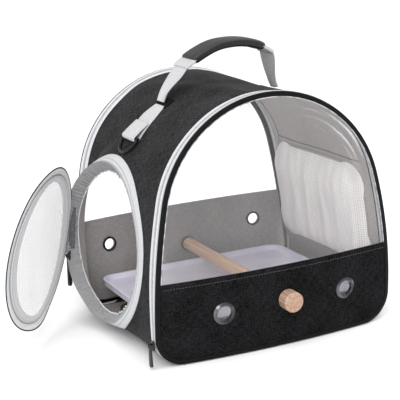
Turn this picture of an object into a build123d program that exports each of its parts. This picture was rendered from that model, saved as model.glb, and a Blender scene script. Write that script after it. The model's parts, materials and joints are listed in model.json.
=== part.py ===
from build123d import *
import os
from math import sqrt, sin, cos, atan2, radians, degrees

# Bird travel carrier: a sewn half-dome carrier with a clear panel zipped into each end,
# a mesh door in the left wall, a mesh window in the right wall, a wooden perch from end
# to end and a raised tray. Millimetres, +Z up, origin on the floor under the middle,
# front panel towards -Y, side door towards -X.

# ---- driving dimensions: the body -------------------------------------------------
body_width = 320
body_depth = 268            # between the sewn edges of the two end panels
body_height = 311
shoulder = 13               # how much narrower the roof arc is than the widest half-width
side_centre_height = 45     # height at which the side walls are widest
corner_radius = 38

tape_thickness = 0.8
fabric_thickness = 1.6
lining_thickness = 1.0
seam_binding_thickness = 0.8
seam_binding_width = 13
cloth_gap = 0.3             # air between soft pieces that move apart

# ---- the zippers ---------------------------------------------------------------------
front_tape_width = 6.5
rear_tape_width = 9.0
coil_width = 4.0
coil_proud = 0.5
tape_overlap = 3.0          # how far a tape lies over the edge of the tunnel fabric
zip_end_height = 14

# ---- the end panels -------------------------------------------------------------------
panel_bulge = 12
panel_stand = 3             # how far a panel's edge stands out of its sewn line
bulge_height = 135          # height of the most outward point of a panel
band_thickness = 1.4
band_lining_thickness = 0.8
window_thickness = 0.8
panel_binding_width = 6
panel_binding_thickness = 3.5
panel_binding_proud = 1.0
front_band_height = 104
rear_band_height = 117
hinge_strip_thickness = 0.8
hinge_strip_width = body_width - 90

front_eyelet_spread = body_width / 2 - 77    # half the distance between the two eyelets
front_eyelet_height = 57
front_eyelet_hole = 9.25
front_eyelet_flange = 14
rear_eyelet_spread = body_width / 2 - 50
rear_eyelet_height = 80
rear_eyelet_hole = 7.5
rear_eyelet_flange = 11
eyelet_wall = 0.9
eyelet_washer_thickness = 0.9
eyelet_washer_inset = 1.0
eyelet_crown = 1.7
eyelet_roll = 0.4           # how far the barrel stands past the washer
eyelet_gap = 0.1

# ---- the perch ------------------------------------------------------------------------
perch_offset = 8            # the perch and the front eyelets sit a little right of centre
perch_height = 60
perch_radius = 8.5
perch_edge = 1.5
stud_radius = 2.5
stud_reach = 10.5           # how far a stud stands out of the end washer
perch_washer_radius = 11
perch_washer_thickness = 1.2
cap_radius = 12.5
stud_socket = 20            # depth of a stud in the end of the dowel
cap_length = 17
cap_edge = 1.6
cap_bore_depth = 12.2
stud_clearance = 2.2

# ---- the tray and the base -----------------------------------------------------------
base_board_thickness = 3
base_board_margin = 14
tray_half_width = body_width / 2 - 26
tray_half_depth = body_depth / 2 - 17
tray_corner = 18
tray_floor_height = 35
tray_floor_thickness = 2
tray_rim_height = 7
tray_rim_thickness = 2
tray_lip_width = 1.5
tray_lip_thickness = 1.6
tray_leg_radius = 9
tray_leg_inset = 24

# ---- the left door -------------------------------------------------------------------
door_front_margin = 38      # from the front edge of the wall's fabric to the door
door_rear_margin = 19
door_half_height = 93
door_side_drop = 13         # how much narrower the round ends are than the door
door_centre_z = 121
door_tape_width = 14
door_coil_width = 1.7
door_binding_width = 9
door_binding_lip = 4
flap_open_angle = 46
flap_overlap = 7            # how far the shut flap's trim lies over the zip outside it
flap_gap = 0.35
flap_border_width = 16
flap_border_thickness = 1.4
flap_trim_width = 9
flap_trim_thickness = 0.8
mesh_thickness = 0.6
door_hinge_half = 20        # half the length of the fold that the door flap swings on
door_hinge_set = 14         # distance of the fold behind the door's edge
door_hinge_strip = 6
door_fold_radius = 0.9

# ---- the right window ----------------------------------------------------------------
window_front_margin = 32    # from the front edge of the wall's fabric to the window
window_rear_margin = 17
window_height = 112
window_corner = 30
window_centre_z = 132
window_tape_width = 12

# ---- webbing, handle and D-rings ------------------------------------------------------
webbing_width = 37
webbing_thickness = 1.8
handle_half_span = body_width / 4 - 1
handle_foot_width = 18      # the webbing is gathered to this width where it is sewn down
handle_rise = 72.2          # top of the grip above the feet of the handle
grip_half_span = 55
grip_sag = 21
grip_thickness = 7.5
grip_width = 40
grip_edge = 2.7
grip_end_turn = 6           # degrees of the arc left bare at each end of the grip
cuff_length = 15
cuff_thickness = 1.2
anchor_length = 15
anchor_thickness = 1.2
foot_gap = 1.6              # the feet clear the pads when the handle leans
tab_start = handle_half_span + 4   # distance of the sewn end of a strap tab from the centre line
tab_end = tab_start + 36
ring_wire = 2.1
ring_clearance = 0.3

# ---- sliders and pulls ------------------------------------------------------------------
slider_length = 12
slider_width = 8.5
slider_thickness = 1.8
slider_ear = 1.4
slider_ear_gap = 4.6
slider_ear_length = 4.5
slider_ear_top = 0.6        # metal above the pin
pin_radius = 0.9
pin_rise = 2.8
pull_thickness = 2.4
pull_wall = 1.0             # rubber round the pin
pull_length = 26
pull_bulb = 3.6
door_pull_length = 42
door_pull_bulb = 4.6
front_slider_height = 29
door_slider_angle = -12
door_zip_lean = 1.2         # how far the plane of the door slider's path leans out at its foot


# ---- where the wall's fabric ends and what is cut in it ---------------------------------------
fabric_front = -(body_depth / 2 - 2 * front_tape_width - coil_width + tape_overlap)
fabric_rear = body_depth / 2 - 2 * rear_tape_width - coil_width + tape_overlap
door_low_y, door_high_y = fabric_front + door_front_margin, fabric_rear - door_rear_margin
door_centre_y, door_half_width = (door_low_y + door_high_y) / 2, (door_high_y - door_low_y) / 2
door_end_radius = door_half_width - door_side_drop
window_low_y, window_high_y = fabric_front + window_front_margin, fabric_rear - window_rear_margin
window_centre_y, window_width = (window_low_y + window_high_y) / 2, window_high_y - window_low_y


# ---- the arch profile -------------------------------------------------------------------
roof_radius = body_width / 2 - shoulder
roof_centre = (0, body_height - roof_radius)
side_drop = roof_centre[1] - side_centre_height
side_radius = ((body_width / 2) ** 2 + side_drop ** 2 - roof_radius ** 2) / (2 * shoulder)
side_centre = (body_width / 2 - side_radius, side_centre_height)
corner_drop = corner_radius - side_centre_height
corner_centre = (side_centre[0] + sqrt((side_radius - corner_radius) ** 2 - corner_drop ** 2),
                 corner_radius)


def direction(a, b):
    """Angle in degrees of the line from point a to point b."""
    return degrees(atan2(b[1] - a[1], b[0] - a[0]))


def mirrored(point):
    """The point on the other side of the centre line."""
    return (-point[0], point[1])


def arc(centre, radius, start, end):
    """Arc about a centre from one angle to another, in degrees."""
    def at(angle):
        return (centre[0] + radius * cos(radians(angle)), centre[1] + radius * sin(radians(angle)))
    return ThreePointArc(at(start), at((start + end) / 2), at(end))


def arch_face(inset):
    """The tunnel's section in the XZ plane, drawn in by inset: floor, corners, sides, roof."""
    low = direction(side_centre, corner_centre)
    high = direction(side_centre, roof_centre)
    corner, side, roof = corner_radius - inset, side_radius - inset, roof_radius - inset
    outline = [
        Line((-corner_centre[0], inset), (corner_centre[0], inset)),
        arc(corner_centre, corner, -90, low),
        arc(side_centre, side, low, high),
        arc(roof_centre, roof, high, 180 - high),
        arc(mirrored(side_centre), side, 180 - high, 180 - low),
        arc(mirrored(corner_centre), corner, 180 - low, 270),
    ]
    return make_face([Plane.XZ * edge for edge in outline])


def prism(inset, y_low, y_high):
    """The arch section carried from y_low to y_high."""
    return Pos(0, y_high, 0) * extrude(arch_face(inset), amount=y_high - y_low)


def tunnel(outer, inner, y_a, y_b):
    """A ring of the arch between two insets, between two places along Y in either order."""
    y_low, y_high = min(y_a, y_b), max(y_a, y_b)
    ring = arch_face(outer) - arch_face(inner)
    return Pos(0, y_high, 0) * extrude(ring, amount=y_high - y_low)


def slab(x_low, x_high, y_low, y_high, z_low, z_high):
    """A plain block between six planes, used to cut pieces to length."""
    return Pos((x_low + x_high) / 2, (y_low + y_high) / 2, (z_low + z_high) / 2) * Box(
        x_high - x_low, y_high - y_low, z_high - z_low)


def wall_x(z, inset=0):
    """Half-width of the arch at a height on its side wall or its roof arc."""
    on_side = side_centre[0] + sqrt((side_radius - inset) ** 2 - (z - side_centre[1]) ** 2)
    joint = side_centre[1] + side_radius * sin(radians(direction(side_centre, roof_centre)))
    if z <= joint:
        return on_side
    return sqrt((roof_radius - inset) ** 2 - (z - roof_centre[1]) ** 2)


def roof_z(x, inset=0):
    """Height of the roof arc at a distance from the centre line."""
    return roof_centre[1] + sqrt((roof_radius - inset) ** 2 - x ** 2)


far = body_width + body_depth       # longer than any piece
above_zip_end = slab(-far, far, -far, far, zip_end_height, far)
left_half = slab(-far, -body_width / 4, -far, far, 0, far)
right_half = slab(body_width / 4, far, -far, far, 0, far)

# insets of the layers, from the outside in
fabric_inset = tape_thickness
lining_inset = fabric_inset + fabric_thickness
binding_inset = lining_inset + lining_thickness
inner_inset = binding_inset + seam_binding_thickness


# ---- end panels -----------------------------------------------------------------------------
bulge_radius = ((body_width / 2) ** 2 + panel_bulge ** 2) / (2 * panel_bulge)
FRONT, REAR = -1, 1


def bulge_centre(end):
    """Centre of the large ball that a panel's skin lies on."""
    stand = body_depth / 2 + panel_stand + panel_bulge
    return (0, end * (stand - bulge_radius), bulge_height)


def ball(end, depth):
    """The large ball, drawn in by depth."""
    return Pos(*bulge_centre(end)) * Sphere(bulge_radius - depth)


def skin_y(end, x, z, depth=0):
    """Where a layer of the panel's skin lies along Y."""
    reach = sqrt((bulge_radius - depth) ** 2 - x ** 2 - (z - bulge_height) ** 2)
    return bulge_centre(end)[1] + end * reach


def skin_plane(end, x, z, depth=0):
    """A plane on the skin, with its normal pointing out of the carrier."""
    origin = Vector(x, skin_y(end, x, z, depth), z)
    return Plane(origin, x_dir=(1, 0, 0), z_dir=origin - Vector(*bulge_centre(end)))


def panel_layer(end, inset, outer_depth, inner_depth):
    """A layer of an end panel: the arch section between two skins of the bulge."""
    base = body_depth / 2
    low, high = base - panel_bulge, base + panel_stand + 2 * panel_bulge
    y_low, y_high = min(end * low, end * high), max(end * low, end * high)
    block = prism(inset, y_low, y_high)
    return (block & ball(end, outer_depth)) - ball(end, inner_depth)


def along_y(radius, y_a, y_b, x, z):
    """A round bar along Y."""
    return Pos(x, (y_a + y_b) / 2, z) * Rot(90, 0, 0) * Cylinder(radius, abs(y_b - y_a))


def eyelet(plane, hole, flange, grip):
    """Rolled eyelet: a barrel through the band and a domed flange on its outer face."""
    barrel = hole + eyelet_wall
    depth = grip + eyelet_washer_thickness + eyelet_roll
    lip = eyelet_crown * 0.6
    crest = hole + (flange - hole) * 0.4
    section = [
        Line((hole, -depth), (hole, lip)),
        Line((hole, lip), (crest, eyelet_crown)),
        Line((crest, eyelet_crown), (flange, eyelet_gap)),
        Line((flange, eyelet_gap), (barrel, eyelet_gap)),
        Line((barrel, eyelet_gap), (barrel, -depth)),
        Line((barrel, -depth), (hole, -depth)),
    ]
    face = make_face([Plane.XZ * edge for edge in section])
    return plane.location * revolve(face, Axis.Z)


def eyelet_washer(plane, hole, flange, grip):
    """Flat washer on the inner face of the band, under the barrel's rolled end."""
    top = -grip - eyelet_gap
    ring = Cylinder(flange - eyelet_washer_inset, eyelet_washer_thickness)
    ring -= Cylinder(hole + eyelet_wall + eyelet_gap, 3 * eyelet_washer_thickness)
    return plane.location * (Pos(0, 0, top - eyelet_washer_thickness / 2) * ring)


def end_panel(end, name, band_height, tape_width, eyelets, hole, flange):
    """All the pieces that swing with one end panel."""
    skin = panel_binding_proud
    band_grip = band_thickness + band_lining_thickness
    above_floor = slab(-far, far, -far, far, hinge_strip_thickness + cloth_gap, far)
    below_band = slab(-far, far, -far, far, -1, band_height)
    above_band = slab(-far, far, -far, far, band_height, far)
    full = panel_binding_width
    band = panel_layer(end, full, skin, skin + band_thickness) & below_band
    band_lining = panel_layer(end, full, skin + band_thickness, skin + band_grip) & below_band
    window = panel_layer(end, full, skin + 0.3, skin + 0.3 + window_thickness) & above_band
    binding = panel_layer(end, 0, 0, panel_binding_thickness) - prism(full, -far, far)
    panel_edge = end * (body_depth / 2 - tape_width)
    tape = tunnel(0, tape_thickness, panel_edge, end * (body_depth / 2 + panel_stand + panel_bulge))
    tape &= ball(end, panel_binding_thickness)
    coil_edge = panel_edge - end * (coil_width / 2 - cloth_gap / 2)
    coil = tunnel(-coil_proud, tape_thickness, panel_edge, coil_edge)

    stud_hole = along_y(stud_radius + stud_clearance + 1, end * body_depth / 3, end * far,
                        perch_offset, perch_height)
    rivets, washers = [], []
    for x, z in eyelets:
        plane = skin_plane(end, x, z, skin)
        bore = plane.location * Cylinder(hole + eyelet_wall + eyelet_gap, 2 * panel_bulge)
        band -= bore
        band_lining -= bore
        rivets.append(eyelet(plane, hole, flange, band_grip))
        washers.append(eyelet_washer(plane, hole, flange, band_grip))
    return {
        f"{name}_band": band - stud_hole,
        f"{name}_band_lining": band_lining - stud_hole,
        f"{name}_clear_window": window,
        f"{name}_edge_binding": binding & above_floor,
        f"{name}_panel_tape": tape & above_zip_end,
        f"{name}_panel_coil": coil & above_zip_end,
        f"{name}_eyelets": Compound(rivets),
        f"{name}_eyelet_washers": Compound(washers),
    }


def end_zip_half(end, name, tape_width):
    """The tape and coil half that stay on the tunnel, the binding over the seam inside,
    and the strip of fabric that the panel folds on."""
    centre_line = body_depth / 2 - tape_width - coil_width / 2
    coil_low = end * (centre_line - coil_width / 2)
    coil_high = end * (centre_line - cloth_gap / 2)
    tape_end = coil_low - end * tape_width
    coil = tunnel(-coil_proud, tape_thickness, coil_low, coil_high)
    tape = tunnel(0, tape_thickness, coil_low, tape_end)
    fabric_end = tape_end + end * tape_overlap
    binding = tunnel(binding_inset, inner_inset, fabric_end, fabric_end - end * seam_binding_width)
    below_zip_end = slab(-far, far, -far, far, -1, zip_end_height)
    strip = tunnel(0, hinge_strip_thickness, coil_high, fabric_end) & below_zip_end
    strip_low, strip_high = sorted((skin_y(end, hinge_strip_width / 2, 0), coil_high))
    strip += slab(-hinge_strip_width / 2, hinge_strip_width / 2, strip_low, strip_high,
                  0, hinge_strip_thickness)
    return {
        f"{name}_tunnel_tape": tape & above_zip_end,
        f"{name}_tunnel_coil": coil & above_zip_end,
        f"{name}_seam_binding": binding & above_zip_end,
        f"{name}_hinge_strip": strip,
    }


# ---- openings in the side walls --------------------------------------------------------------
def oval_face(grow):
    """The door's outline on the YZ plane: round ends joined by long side arcs."""
    half_width, half_height = door_half_width, door_half_height
    end_rise = half_height - door_end_radius
    flat_radius = (half_width ** 2 + end_rise ** 2 - door_end_radius ** 2) / (
        2 * (half_width - door_end_radius))
    side = (half_width - flat_radius, 0)
    high = direction(side, (0, end_rise))
    end, flat = door_end_radius + grow, flat_radius + grow
    outline = [
        arc(side, flat, -high, high),
        arc((0, end_rise), end, high, 180 - high),
        arc(mirrored(side), flat, 180 - high, 180 + high),
        arc((0, -end_rise), end, 180 + high, 360 - high),
    ]
    return make_face([Plane.YZ * edge for edge in outline])


def door_prism(grow):
    """The door's outline carried through the left wall."""
    start = -body_width / 2 - 20
    return Pos(start, door_centre_y, door_centre_z) * extrude(oval_face(grow), amount=body_width / 3)


def window_prism(grow):
    """The side window's outline carried through the right wall."""
    sketch = Plane.YZ * RectangleRounded(window_width + 2 * grow, window_height + 2 * grow,
                                         window_corner + grow)
    return Pos(body_width / 4, window_centre_y, window_centre_z) * extrude(
        sketch, amount=body_width / 3)


def left_layer(outer, inner):
    """The left wall between two insets, long enough for the door."""
    reach = body_depth / 2
    return tunnel(outer, inner, -reach, reach) & left_half


def right_layer(outer, inner):
    """The right wall between two insets."""
    reach = body_depth / 2
    return tunnel(outer, inner, -reach, reach) & right_half


parts = {}
parts.update(end_zip_half(FRONT, "front", front_tape_width))
parts.update(end_zip_half(REAR, "rear", rear_tape_width))

front_eyelets = [(perch_offset - front_eyelet_spread, front_eyelet_height),
                 (perch_offset + front_eyelet_spread, front_eyelet_height)]
rear_eyelets = [(-rear_eyelet_spread, rear_eyelet_height), (rear_eyelet_spread, rear_eyelet_height)]
parts.update(end_panel(FRONT, "front", front_band_height, front_tape_width,
                       front_eyelets, front_eyelet_hole, front_eyelet_flange))
parts.update(end_panel(REAR, "rear", rear_band_height, rear_tape_width,
                       rear_eyelets, rear_eyelet_hole, rear_eyelet_flange))

# ---- tunnel -------------------------------------------------------------------------------------
wall_cuts = door_prism(0) + window_prism(0)
parts["tunnel_fabric"] = tunnel(fabric_inset, lining_inset, fabric_front, fabric_rear) - wall_cuts
parts["tunnel_lining"] = tunnel(lining_inset, binding_inset, fabric_front, fabric_rear) - wall_cuts
bottom = slab(-corner_centre[0], corner_centre[0], fabric_front + cloth_gap, fabric_rear - cloth_gap,
              0, tape_thickness)
parts["bottom_panel"] = bottom

# ---- door in the left wall ----------------------------------------------------------------------
door_tape = left_layer(0, tape_thickness) & door_prism(door_tape_width)
parts["door_tape"] = door_tape - door_prism(door_coil_width)
door_coil = left_layer(-coil_proud, tape_thickness) & door_prism(door_coil_width)
parts["door_coil"] = door_coil - door_prism(0)
door_binding = left_layer(binding_inset, inner_inset) & door_prism(door_binding_width)
parts["door_binding"] = door_binding - door_prism(-door_binding_lip)
parts["rear_seam_binding"] -= door_prism(door_binding_width)

flap_hinge_y = door_high_y + door_hinge_set
hinge_low, hinge_high = door_centre_z - door_hinge_half, door_centre_z + door_hinge_half
flap_hinge_x = -(wall_x(hinge_low) + coil_proud + flap_gap)
sewn = left_layer(-coil_proud - tape_thickness, 0) & slab(
    -far, 0, flap_hinge_y, flap_hinge_y + door_hinge_strip, hinge_low, hinge_high)
fold = slab(flap_hinge_x, -body_width / 4, flap_hinge_y - door_fold_radius,
            flap_hinge_y + 2 * tape_thickness, hinge_low, hinge_high)
fold += Pos(flap_hinge_x, flap_hinge_y, door_centre_z) * Cylinder(door_fold_radius, 2 * door_hinge_half)
fold -= prism(0, -body_depth / 2, body_depth / 2)
parts["door_hinge_strip"] = sewn + fold


def opened(piece):
    """Turn a flap piece from shut to the angle at which it stands open."""
    hinge = Axis((flap_hinge_x, flap_hinge_y, 0), (0, 0, 1))
    return piece.rotate(hinge, -flap_open_angle)


flap_edge = -flap_gap
flap_inner = flap_edge - door_coil_width - flap_border_width
flap_coil = left_layer(-coil_proud, tape_thickness) & door_prism(flap_edge)
flap_border = left_layer(0, flap_border_thickness) & door_prism(flap_edge - door_coil_width)
flap_mesh = left_layer(mesh_thickness, 2 * mesh_thickness) & door_prism(flap_inner)
trim_outer = -coil_proud - flap_gap - flap_trim_thickness
trim_layer = left_layer(trim_outer, -coil_proud - flap_gap)
flap_trim = trim_layer & door_prism(flap_overlap)
flap_trim -= door_prism(flap_edge - flap_trim_width)
flap_tab = trim_layer & slab(-far, 0, door_high_y - flap_trim_width,
                             flap_hinge_y - door_fold_radius - flap_gap, hinge_low, hinge_high)
rim = left_layer(-coil_proud - flap_gap, 0) & door_prism(flap_edge - door_coil_width)
flap_trim += rim - door_prism(flap_edge - flap_trim_width)
parts["flap_coil"] = opened(flap_coil - door_prism(flap_edge - door_coil_width))
parts["flap_border"] = opened(flap_border - door_prism(flap_inner))
parts["flap_mesh"] = opened(flap_mesh)
parts["flap_trim"] = opened(flap_trim + flap_tab)

# ---- window in the right wall ---------------------------------------------------------------------
window_tape = right_layer(0, tape_thickness) & window_prism(window_tape_width)
parts["side_window_tape"] = window_tape - window_prism(0)
parts["side_window_mesh"] = right_layer(fabric_inset, fabric_inset + mesh_thickness) & window_prism(0)

# ---- perch ------------------------------------------------------------------------------------------
panel_inside = panel_binding_proud + band_thickness + band_lining_thickness
tilt_room = perch_washer_radius * abs(perch_height - bulge_height) / bulge_radius + cloth_gap
washer_outer = {end: skin_y(end, perch_offset, perch_height, panel_inside) - end * tilt_room
                for end in (FRONT, REAR)}
washer_inner = {end: washer_outer[end] - end * perch_washer_thickness for end in (FRONT, REAR)}
perch_length = washer_inner[REAR] - washer_inner[FRONT]
dowel = Cylinder(perch_radius, perch_length)
dowel = chamfer(dowel.edges().filter_by(GeomType.CIRCLE), perch_edge)
for end in (FRONT, REAR):
    dowel -= Pos(0, 0, end * (perch_length / 2 - stud_socket / 2)) * Cylinder(stud_radius, stud_socket)
perch_middle = (washer_inner[REAR] + washer_inner[FRONT]) / 2
parts["perch_dowel"] = Pos(perch_offset, perch_middle, perch_height) * Rot(90, 0, 0) * dowel
studs, washers = [], []
for end in (FRONT, REAR):
    inner, tip = washer_inner[end] - end * stud_socket, washer_outer[end] + end * stud_reach
    studs.append(along_y(stud_radius, inner, tip, perch_offset, perch_height))
    disc = along_y(perch_washer_radius, washer_inner[end], washer_outer[end], perch_offset, perch_height)
    washers.append(disc - studs[-1])
parts["perch_studs"] = Compound(studs)
parts["perch_washers"] = Compound(washers)


def perch_cap(end):
    """Turned wooden cap that screws onto the stud outside a panel."""
    lift = cap_radius * abs(perch_height - bulge_height) / bulge_radius + cloth_gap
    base = skin_y(end, perch_offset, perch_height, panel_binding_proud) + end * lift
    cap = Cylinder(cap_radius, cap_length)
    cap = chamfer(cap.edges().filter_by(GeomType.CIRCLE).sort_by(Axis.Z)[-1], cap_edge)
    bore = Cylinder(stud_radius + stud_clearance, cap_bore_depth)
    cap -= Pos(0, 0, (cap_bore_depth - cap_length) / 2) * bore
    seat = Plane((perch_offset, base, perch_height), x_dir=(1, 0, 0), z_dir=(0, end, 0))
    return seat.location * (Pos(0, 0, cap_length / 2) * cap)


parts["front_perch_cap"] = perch_cap(FRONT)
parts["rear_perch_cap"] = perch_cap(REAR)

# ---- base board and tray ----------------------------------------------------------------------------
board_low = binding_inset
board_high = board_low + base_board_thickness
board_half_depth = body_depth / 2 - rear_tape_width - coil_width - rear_tape_width - base_board_margin
board_half_width = corner_centre[0]
board = extrude(RectangleRounded(2 * board_half_width, 2 * board_half_depth, corner_radius / 2),
                amount=base_board_thickness)
parts["base_board"] = Pos(0, 0, board_low) * board


def tray_outline(shrink):
    """The tray's outline seen from above, drawn in by shrink."""
    return RectangleRounded(2 * (tray_half_width - shrink), 2 * (tray_half_depth - shrink),
                            tray_corner - shrink)


tray = extrude(tray_outline(0), amount=tray_floor_thickness + tray_rim_height)
tray -= Pos(0, 0, tray_floor_thickness) * extrude(tray_outline(tray_rim_thickness),
                                                  amount=2 * tray_rim_height)
lip = extrude(tray_outline(-tray_lip_width), amount=tray_lip_thickness)
lip -= extrude(tray_outline(tray_rim_thickness), amount=tray_lip_thickness)
tray += Pos(0, 0, tray_floor_thickness + tray_rim_height - tray_lip_thickness) * lip
leg_height = tray_floor_height - board_high - cloth_gap / 3
leg = Cone(tray_leg_radius * 0.8, tray_leg_radius, leg_height)
for x in (-1, 1):
    for y in (-1, 1):
        tray += Pos(x * (board_half_width - tray_leg_inset), y * (board_half_depth - tray_leg_inset),
                    -leg_height / 2) * leg
parts["tray"] = Pos(0, 0, tray_floor_height) * tray

# ---- handle --------------------------------------------------------------------------------------------
foot_z = roof_z(handle_half_span) + anchor_thickness + foot_gap
pivot_z = foot_z + handle_foot_width / 2
grip_end_z = foot_z + handle_rise - grip_sag
grip_radius = (grip_half_span ** 2 + grip_sag ** 2) / (2 * grip_sag)
grip_centre = (0, foot_z + handle_rise - grip_radius)
grip_start = direction(grip_centre, (grip_half_span, grip_end_z))


def grip_band(radius, thickness, start, end, width):
    """A band that follows the grip's arc between two angles, centred on it."""
    ring = arc_band(grip_centre, radius - thickness / 2, radius + thickness / 2, start, end)
    return extrude(ring, amount=width / 2, both=True)


def arc_band(centre, inner, outer, start, end):
    """A flat face between two arcs about one centre, in the XZ plane."""
    low, high = arc(centre, inner, start, end), arc(centre, outer, start, end)
    outline = [low, high, Line(low @ 0, high @ 0), Line(low @ 1, high @ 1)]
    return make_face([Plane.XZ * edge for edge in outline])


def leg_webbing(side):
    """One leg, from its narrow sewn foot up to the full width at the end of the grip's arc."""
    foot = Vector(side * handle_half_span, 0, foot_z)
    top = Vector(side * grip_half_span, 0, grip_end_z)
    along = (top - foot).normalized()
    reach = (top - foot).length + webbing_thickness / 4
    plane = Plane(foot, x_dir=(0, 1, 0), z_dir=Vector(0, 1, 0).cross(along))
    low, high = handle_foot_width / 2, webbing_width / 2
    outline = Polyline((-low, 0), (low, 0), (high, reach), (-high, reach), close=True)
    return plane.location * extrude(make_face(outline), amount=webbing_thickness / 2, both=True)


webbing = grip_band(grip_radius, webbing_thickness, grip_start, 180 - grip_start, webbing_width)
webbing += leg_webbing(1) + leg_webbing(-1)
below_pivot = slab(-far, far, -far, far, 0, pivot_z)
foot_round = Pos(0, 0, pivot_z) * Rot(0, 90, 0) * Cylinder(handle_foot_width / 2, 2 * far)
parts["handle_webbing"] = webbing - (below_pivot - foot_round)

sleeve = grip_band(grip_radius, grip_thickness, grip_start + grip_end_turn,
                   180 - grip_start - grip_end_turn, grip_width)
sleeve = fillet(sleeve.edges().filter_by(GeomType.CIRCLE), grip_edge)
core = grip_band(grip_radius, webbing_thickness, grip_start, 180 - grip_start, webbing_width)
parts["handle_grip"] = sleeve - core
cuff_turn = degrees(cuff_length / grip_radius)
cuff_low, cuff_high = grip_start + grip_end_turn - cuff_turn, grip_start + grip_end_turn
cuff_thick, cuff_wide = webbing_thickness + 2 * cuff_thickness, webbing_width + 2 * cuff_thickness
cuffs = []
for low, high in ((cuff_low, cuff_high), (180 - cuff_high, 180 - cuff_low)):
    band = grip_band(grip_radius, cuff_thick, low, high, cuff_wide)
    slot = grip_band(grip_radius, webbing_thickness, low - cuff_turn, high + cuff_turn, webbing_width)
    cuffs.append(band - slot - parts["handle_webbing"])
parts["handle_cuffs"] = Compound(cuffs)

anchors = tunnel(-anchor_thickness, 0, -webbing_width / 2, webbing_width / 2)
anchors &= slab(-far, far, -far, far, roof_centre[1], far)
anchor_inner = tab_start - cloth_gap - anchor_length
pads = []
for side in (-1, 1):
    low, high = sorted((side * anchor_inner, side * (tab_start - cloth_gap)))
    pads.append(anchors & slab(low, high, -far, far, 0, far))
parts["handle_anchors"] = Compound(pads)


# ---- strap tabs and D-rings -------------------------------------------------------------------------------
def tab_plane(side):
    """Plane at the free end of a strap tab: x down along the roof, z out of it."""
    lean = direction(roof_centre, (side * tab_end, roof_z(tab_end)))
    outward = Vector(cos(radians(lean)), 0, sin(radians(lean)))
    down = Vector(outward.Z, 0, -outward.X) * side
    return Plane((side * tab_end, 0, roof_z(tab_end)), x_dir=down, z_dir=outward)


loop_bore = ring_wire + ring_clearance
loop_outer = loop_bore + webbing_thickness
ring_half_bar = sqrt((webbing_width / 2 + ring_wire + ring_clearance) ** 2 + loop_outer ** 2)


def strap_tab(side):
    """Webbing sewn along the roof, its end folded round the bar of a D-ring."""
    strip = tunnel(-webbing_thickness, 0, -webbing_width / 2, webbing_width / 2)
    strip &= slab(*sorted((side * tab_start, side * tab_end)), -far, far, roof_centre[1], far)
    place = tab_plane(side).location * Pos(0, 0, loop_outer) * Rot(90, 0, 0)
    loop = place * Cylinder(loop_outer, webbing_width)
    return (strip + loop) - place * Cylinder(loop_bore, 2 * webbing_width)


def d_ring(side):
    """Half a ring of wire closed by a straight bar."""
    hoop = Torus(ring_half_bar, ring_wire) & Pos(far / 2, 0, 0) * Box(far, far, far)
    bar = Rot(90, 0, 0) * Cylinder(ring_wire, 2 * (ring_half_bar + ring_wire))
    return tab_plane(side).location * Pos(0, 0, loop_outer) * (hoop + bar)


for side, name in ((-1, "left"), (1, "right")):
    parts[f"{name}_strap_tab"] = strap_tab(side)
    parts[f"{name}_d_ring"] = d_ring(side)


# ---- sliders and pulls ------------------------------------------------------------------------------------
def slider():
    """Zip slider in its own frame: x down the zip, y across it, z outward."""
    body = extrude(RectangleRounded(slider_length, slider_width, slider_width * 0.35),
                   amount=slider_thickness)
    ear_height = pin_rise + pin_radius + slider_ear_top
    for side in (-1, 1):
        y = side * (slider_ear_gap + slider_ear) / 2
        ear = Box(slider_ear_length, slider_ear, ear_height)
        body += Pos(0, y, slider_thickness + ear_height / 2) * ear
    pin = Pos(0, 0, slider_thickness + pin_rise) * Rot(90, 0, 0)
    return body + pin * Cylinder(pin_radius, slider_ear_gap + slider_ear)


def pull(length, bulb):
    """Rubber pull with a round end, hanging from the slider's pin along x."""
    neck = slider_ear_gap / 2 - cloth_gap
    outline = make_hull((Circle(neck).edges() + (Pos(length - bulb, 0) * Circle(bulb)).edges()))
    blade = extrude(outline, amount=pull_thickness / 2, both=True)
    blade += Rot(90, 0, 0) * Cylinder(pin_radius + cloth_gap + pull_wall, 2 * neck)
    blade -= Rot(90, 0, 0) * Cylinder(pin_radius + cloth_gap, 4 * bulb)
    return Pos(0, 0, slider_thickness + pin_rise) * blade


def slider_place(x, y, z, outward):
    """Where a slider sits, with its pull hanging straight down."""
    return Plane((x, y, z), x_dir=(0, 0, -1), z_dir=outward).location


slider_lift = coil_proud + cloth_gap
front_line = -(body_depth / 2 - front_tape_width - coil_width / 2)
rear_line = body_depth / 2 - rear_tape_width - coil_width / 2
slider_x = wall_x(front_slider_height) + slider_lift
front_place = slider_place(-slider_x, front_line, front_slider_height, (-1, 0, 0))
rear_place = slider_place(slider_x, rear_line, front_slider_height, (1, 0, 0))
door_slider_y = door_centre_y + door_end_radius * cos(radians(door_slider_angle))
door_slider_drop = -door_end_radius * sin(radians(door_slider_angle))
door_slider_z = door_centre_z - door_half_height + door_end_radius - door_slider_drop
door_slider_x = (wall_x(door_slider_z - slider_length) + coil_proud + flap_gap
                 + flap_trim_thickness + cloth_gap)
door_place = slider_place(-door_slider_x, door_slider_y, door_slider_z, (-1, 0, 0))
for name, place, length, bulb in (("front", front_place, pull_length, pull_bulb),
                                  ("rear", rear_place, pull_length, pull_bulb),
                                  ("door", door_place, door_pull_length, door_pull_bulb)):
    parts[f"{name}_slider"] = place * slider()
    parts[f"{name}_pull"] = place * pull(length, bulb)
parts["door_slider"] = opened(parts["door_slider"])
parts["door_pull"] = opened(parts["door_pull"])

if __name__ == "__main__":
    os.makedirs("parts", exist_ok=True)
    for node, shape in parts.items():
        export_step(shape, f"parts/{node}.step")
        print(node)
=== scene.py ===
# %% [markdown]
# # A half-dome bird carrier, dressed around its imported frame
# The frame is the CAD model. Its wood, metal and moulded parts are kept and get materials. Every
# cloth, tape, zip and film is made again from the same sizes, as sewn goods are never flat.

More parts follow.
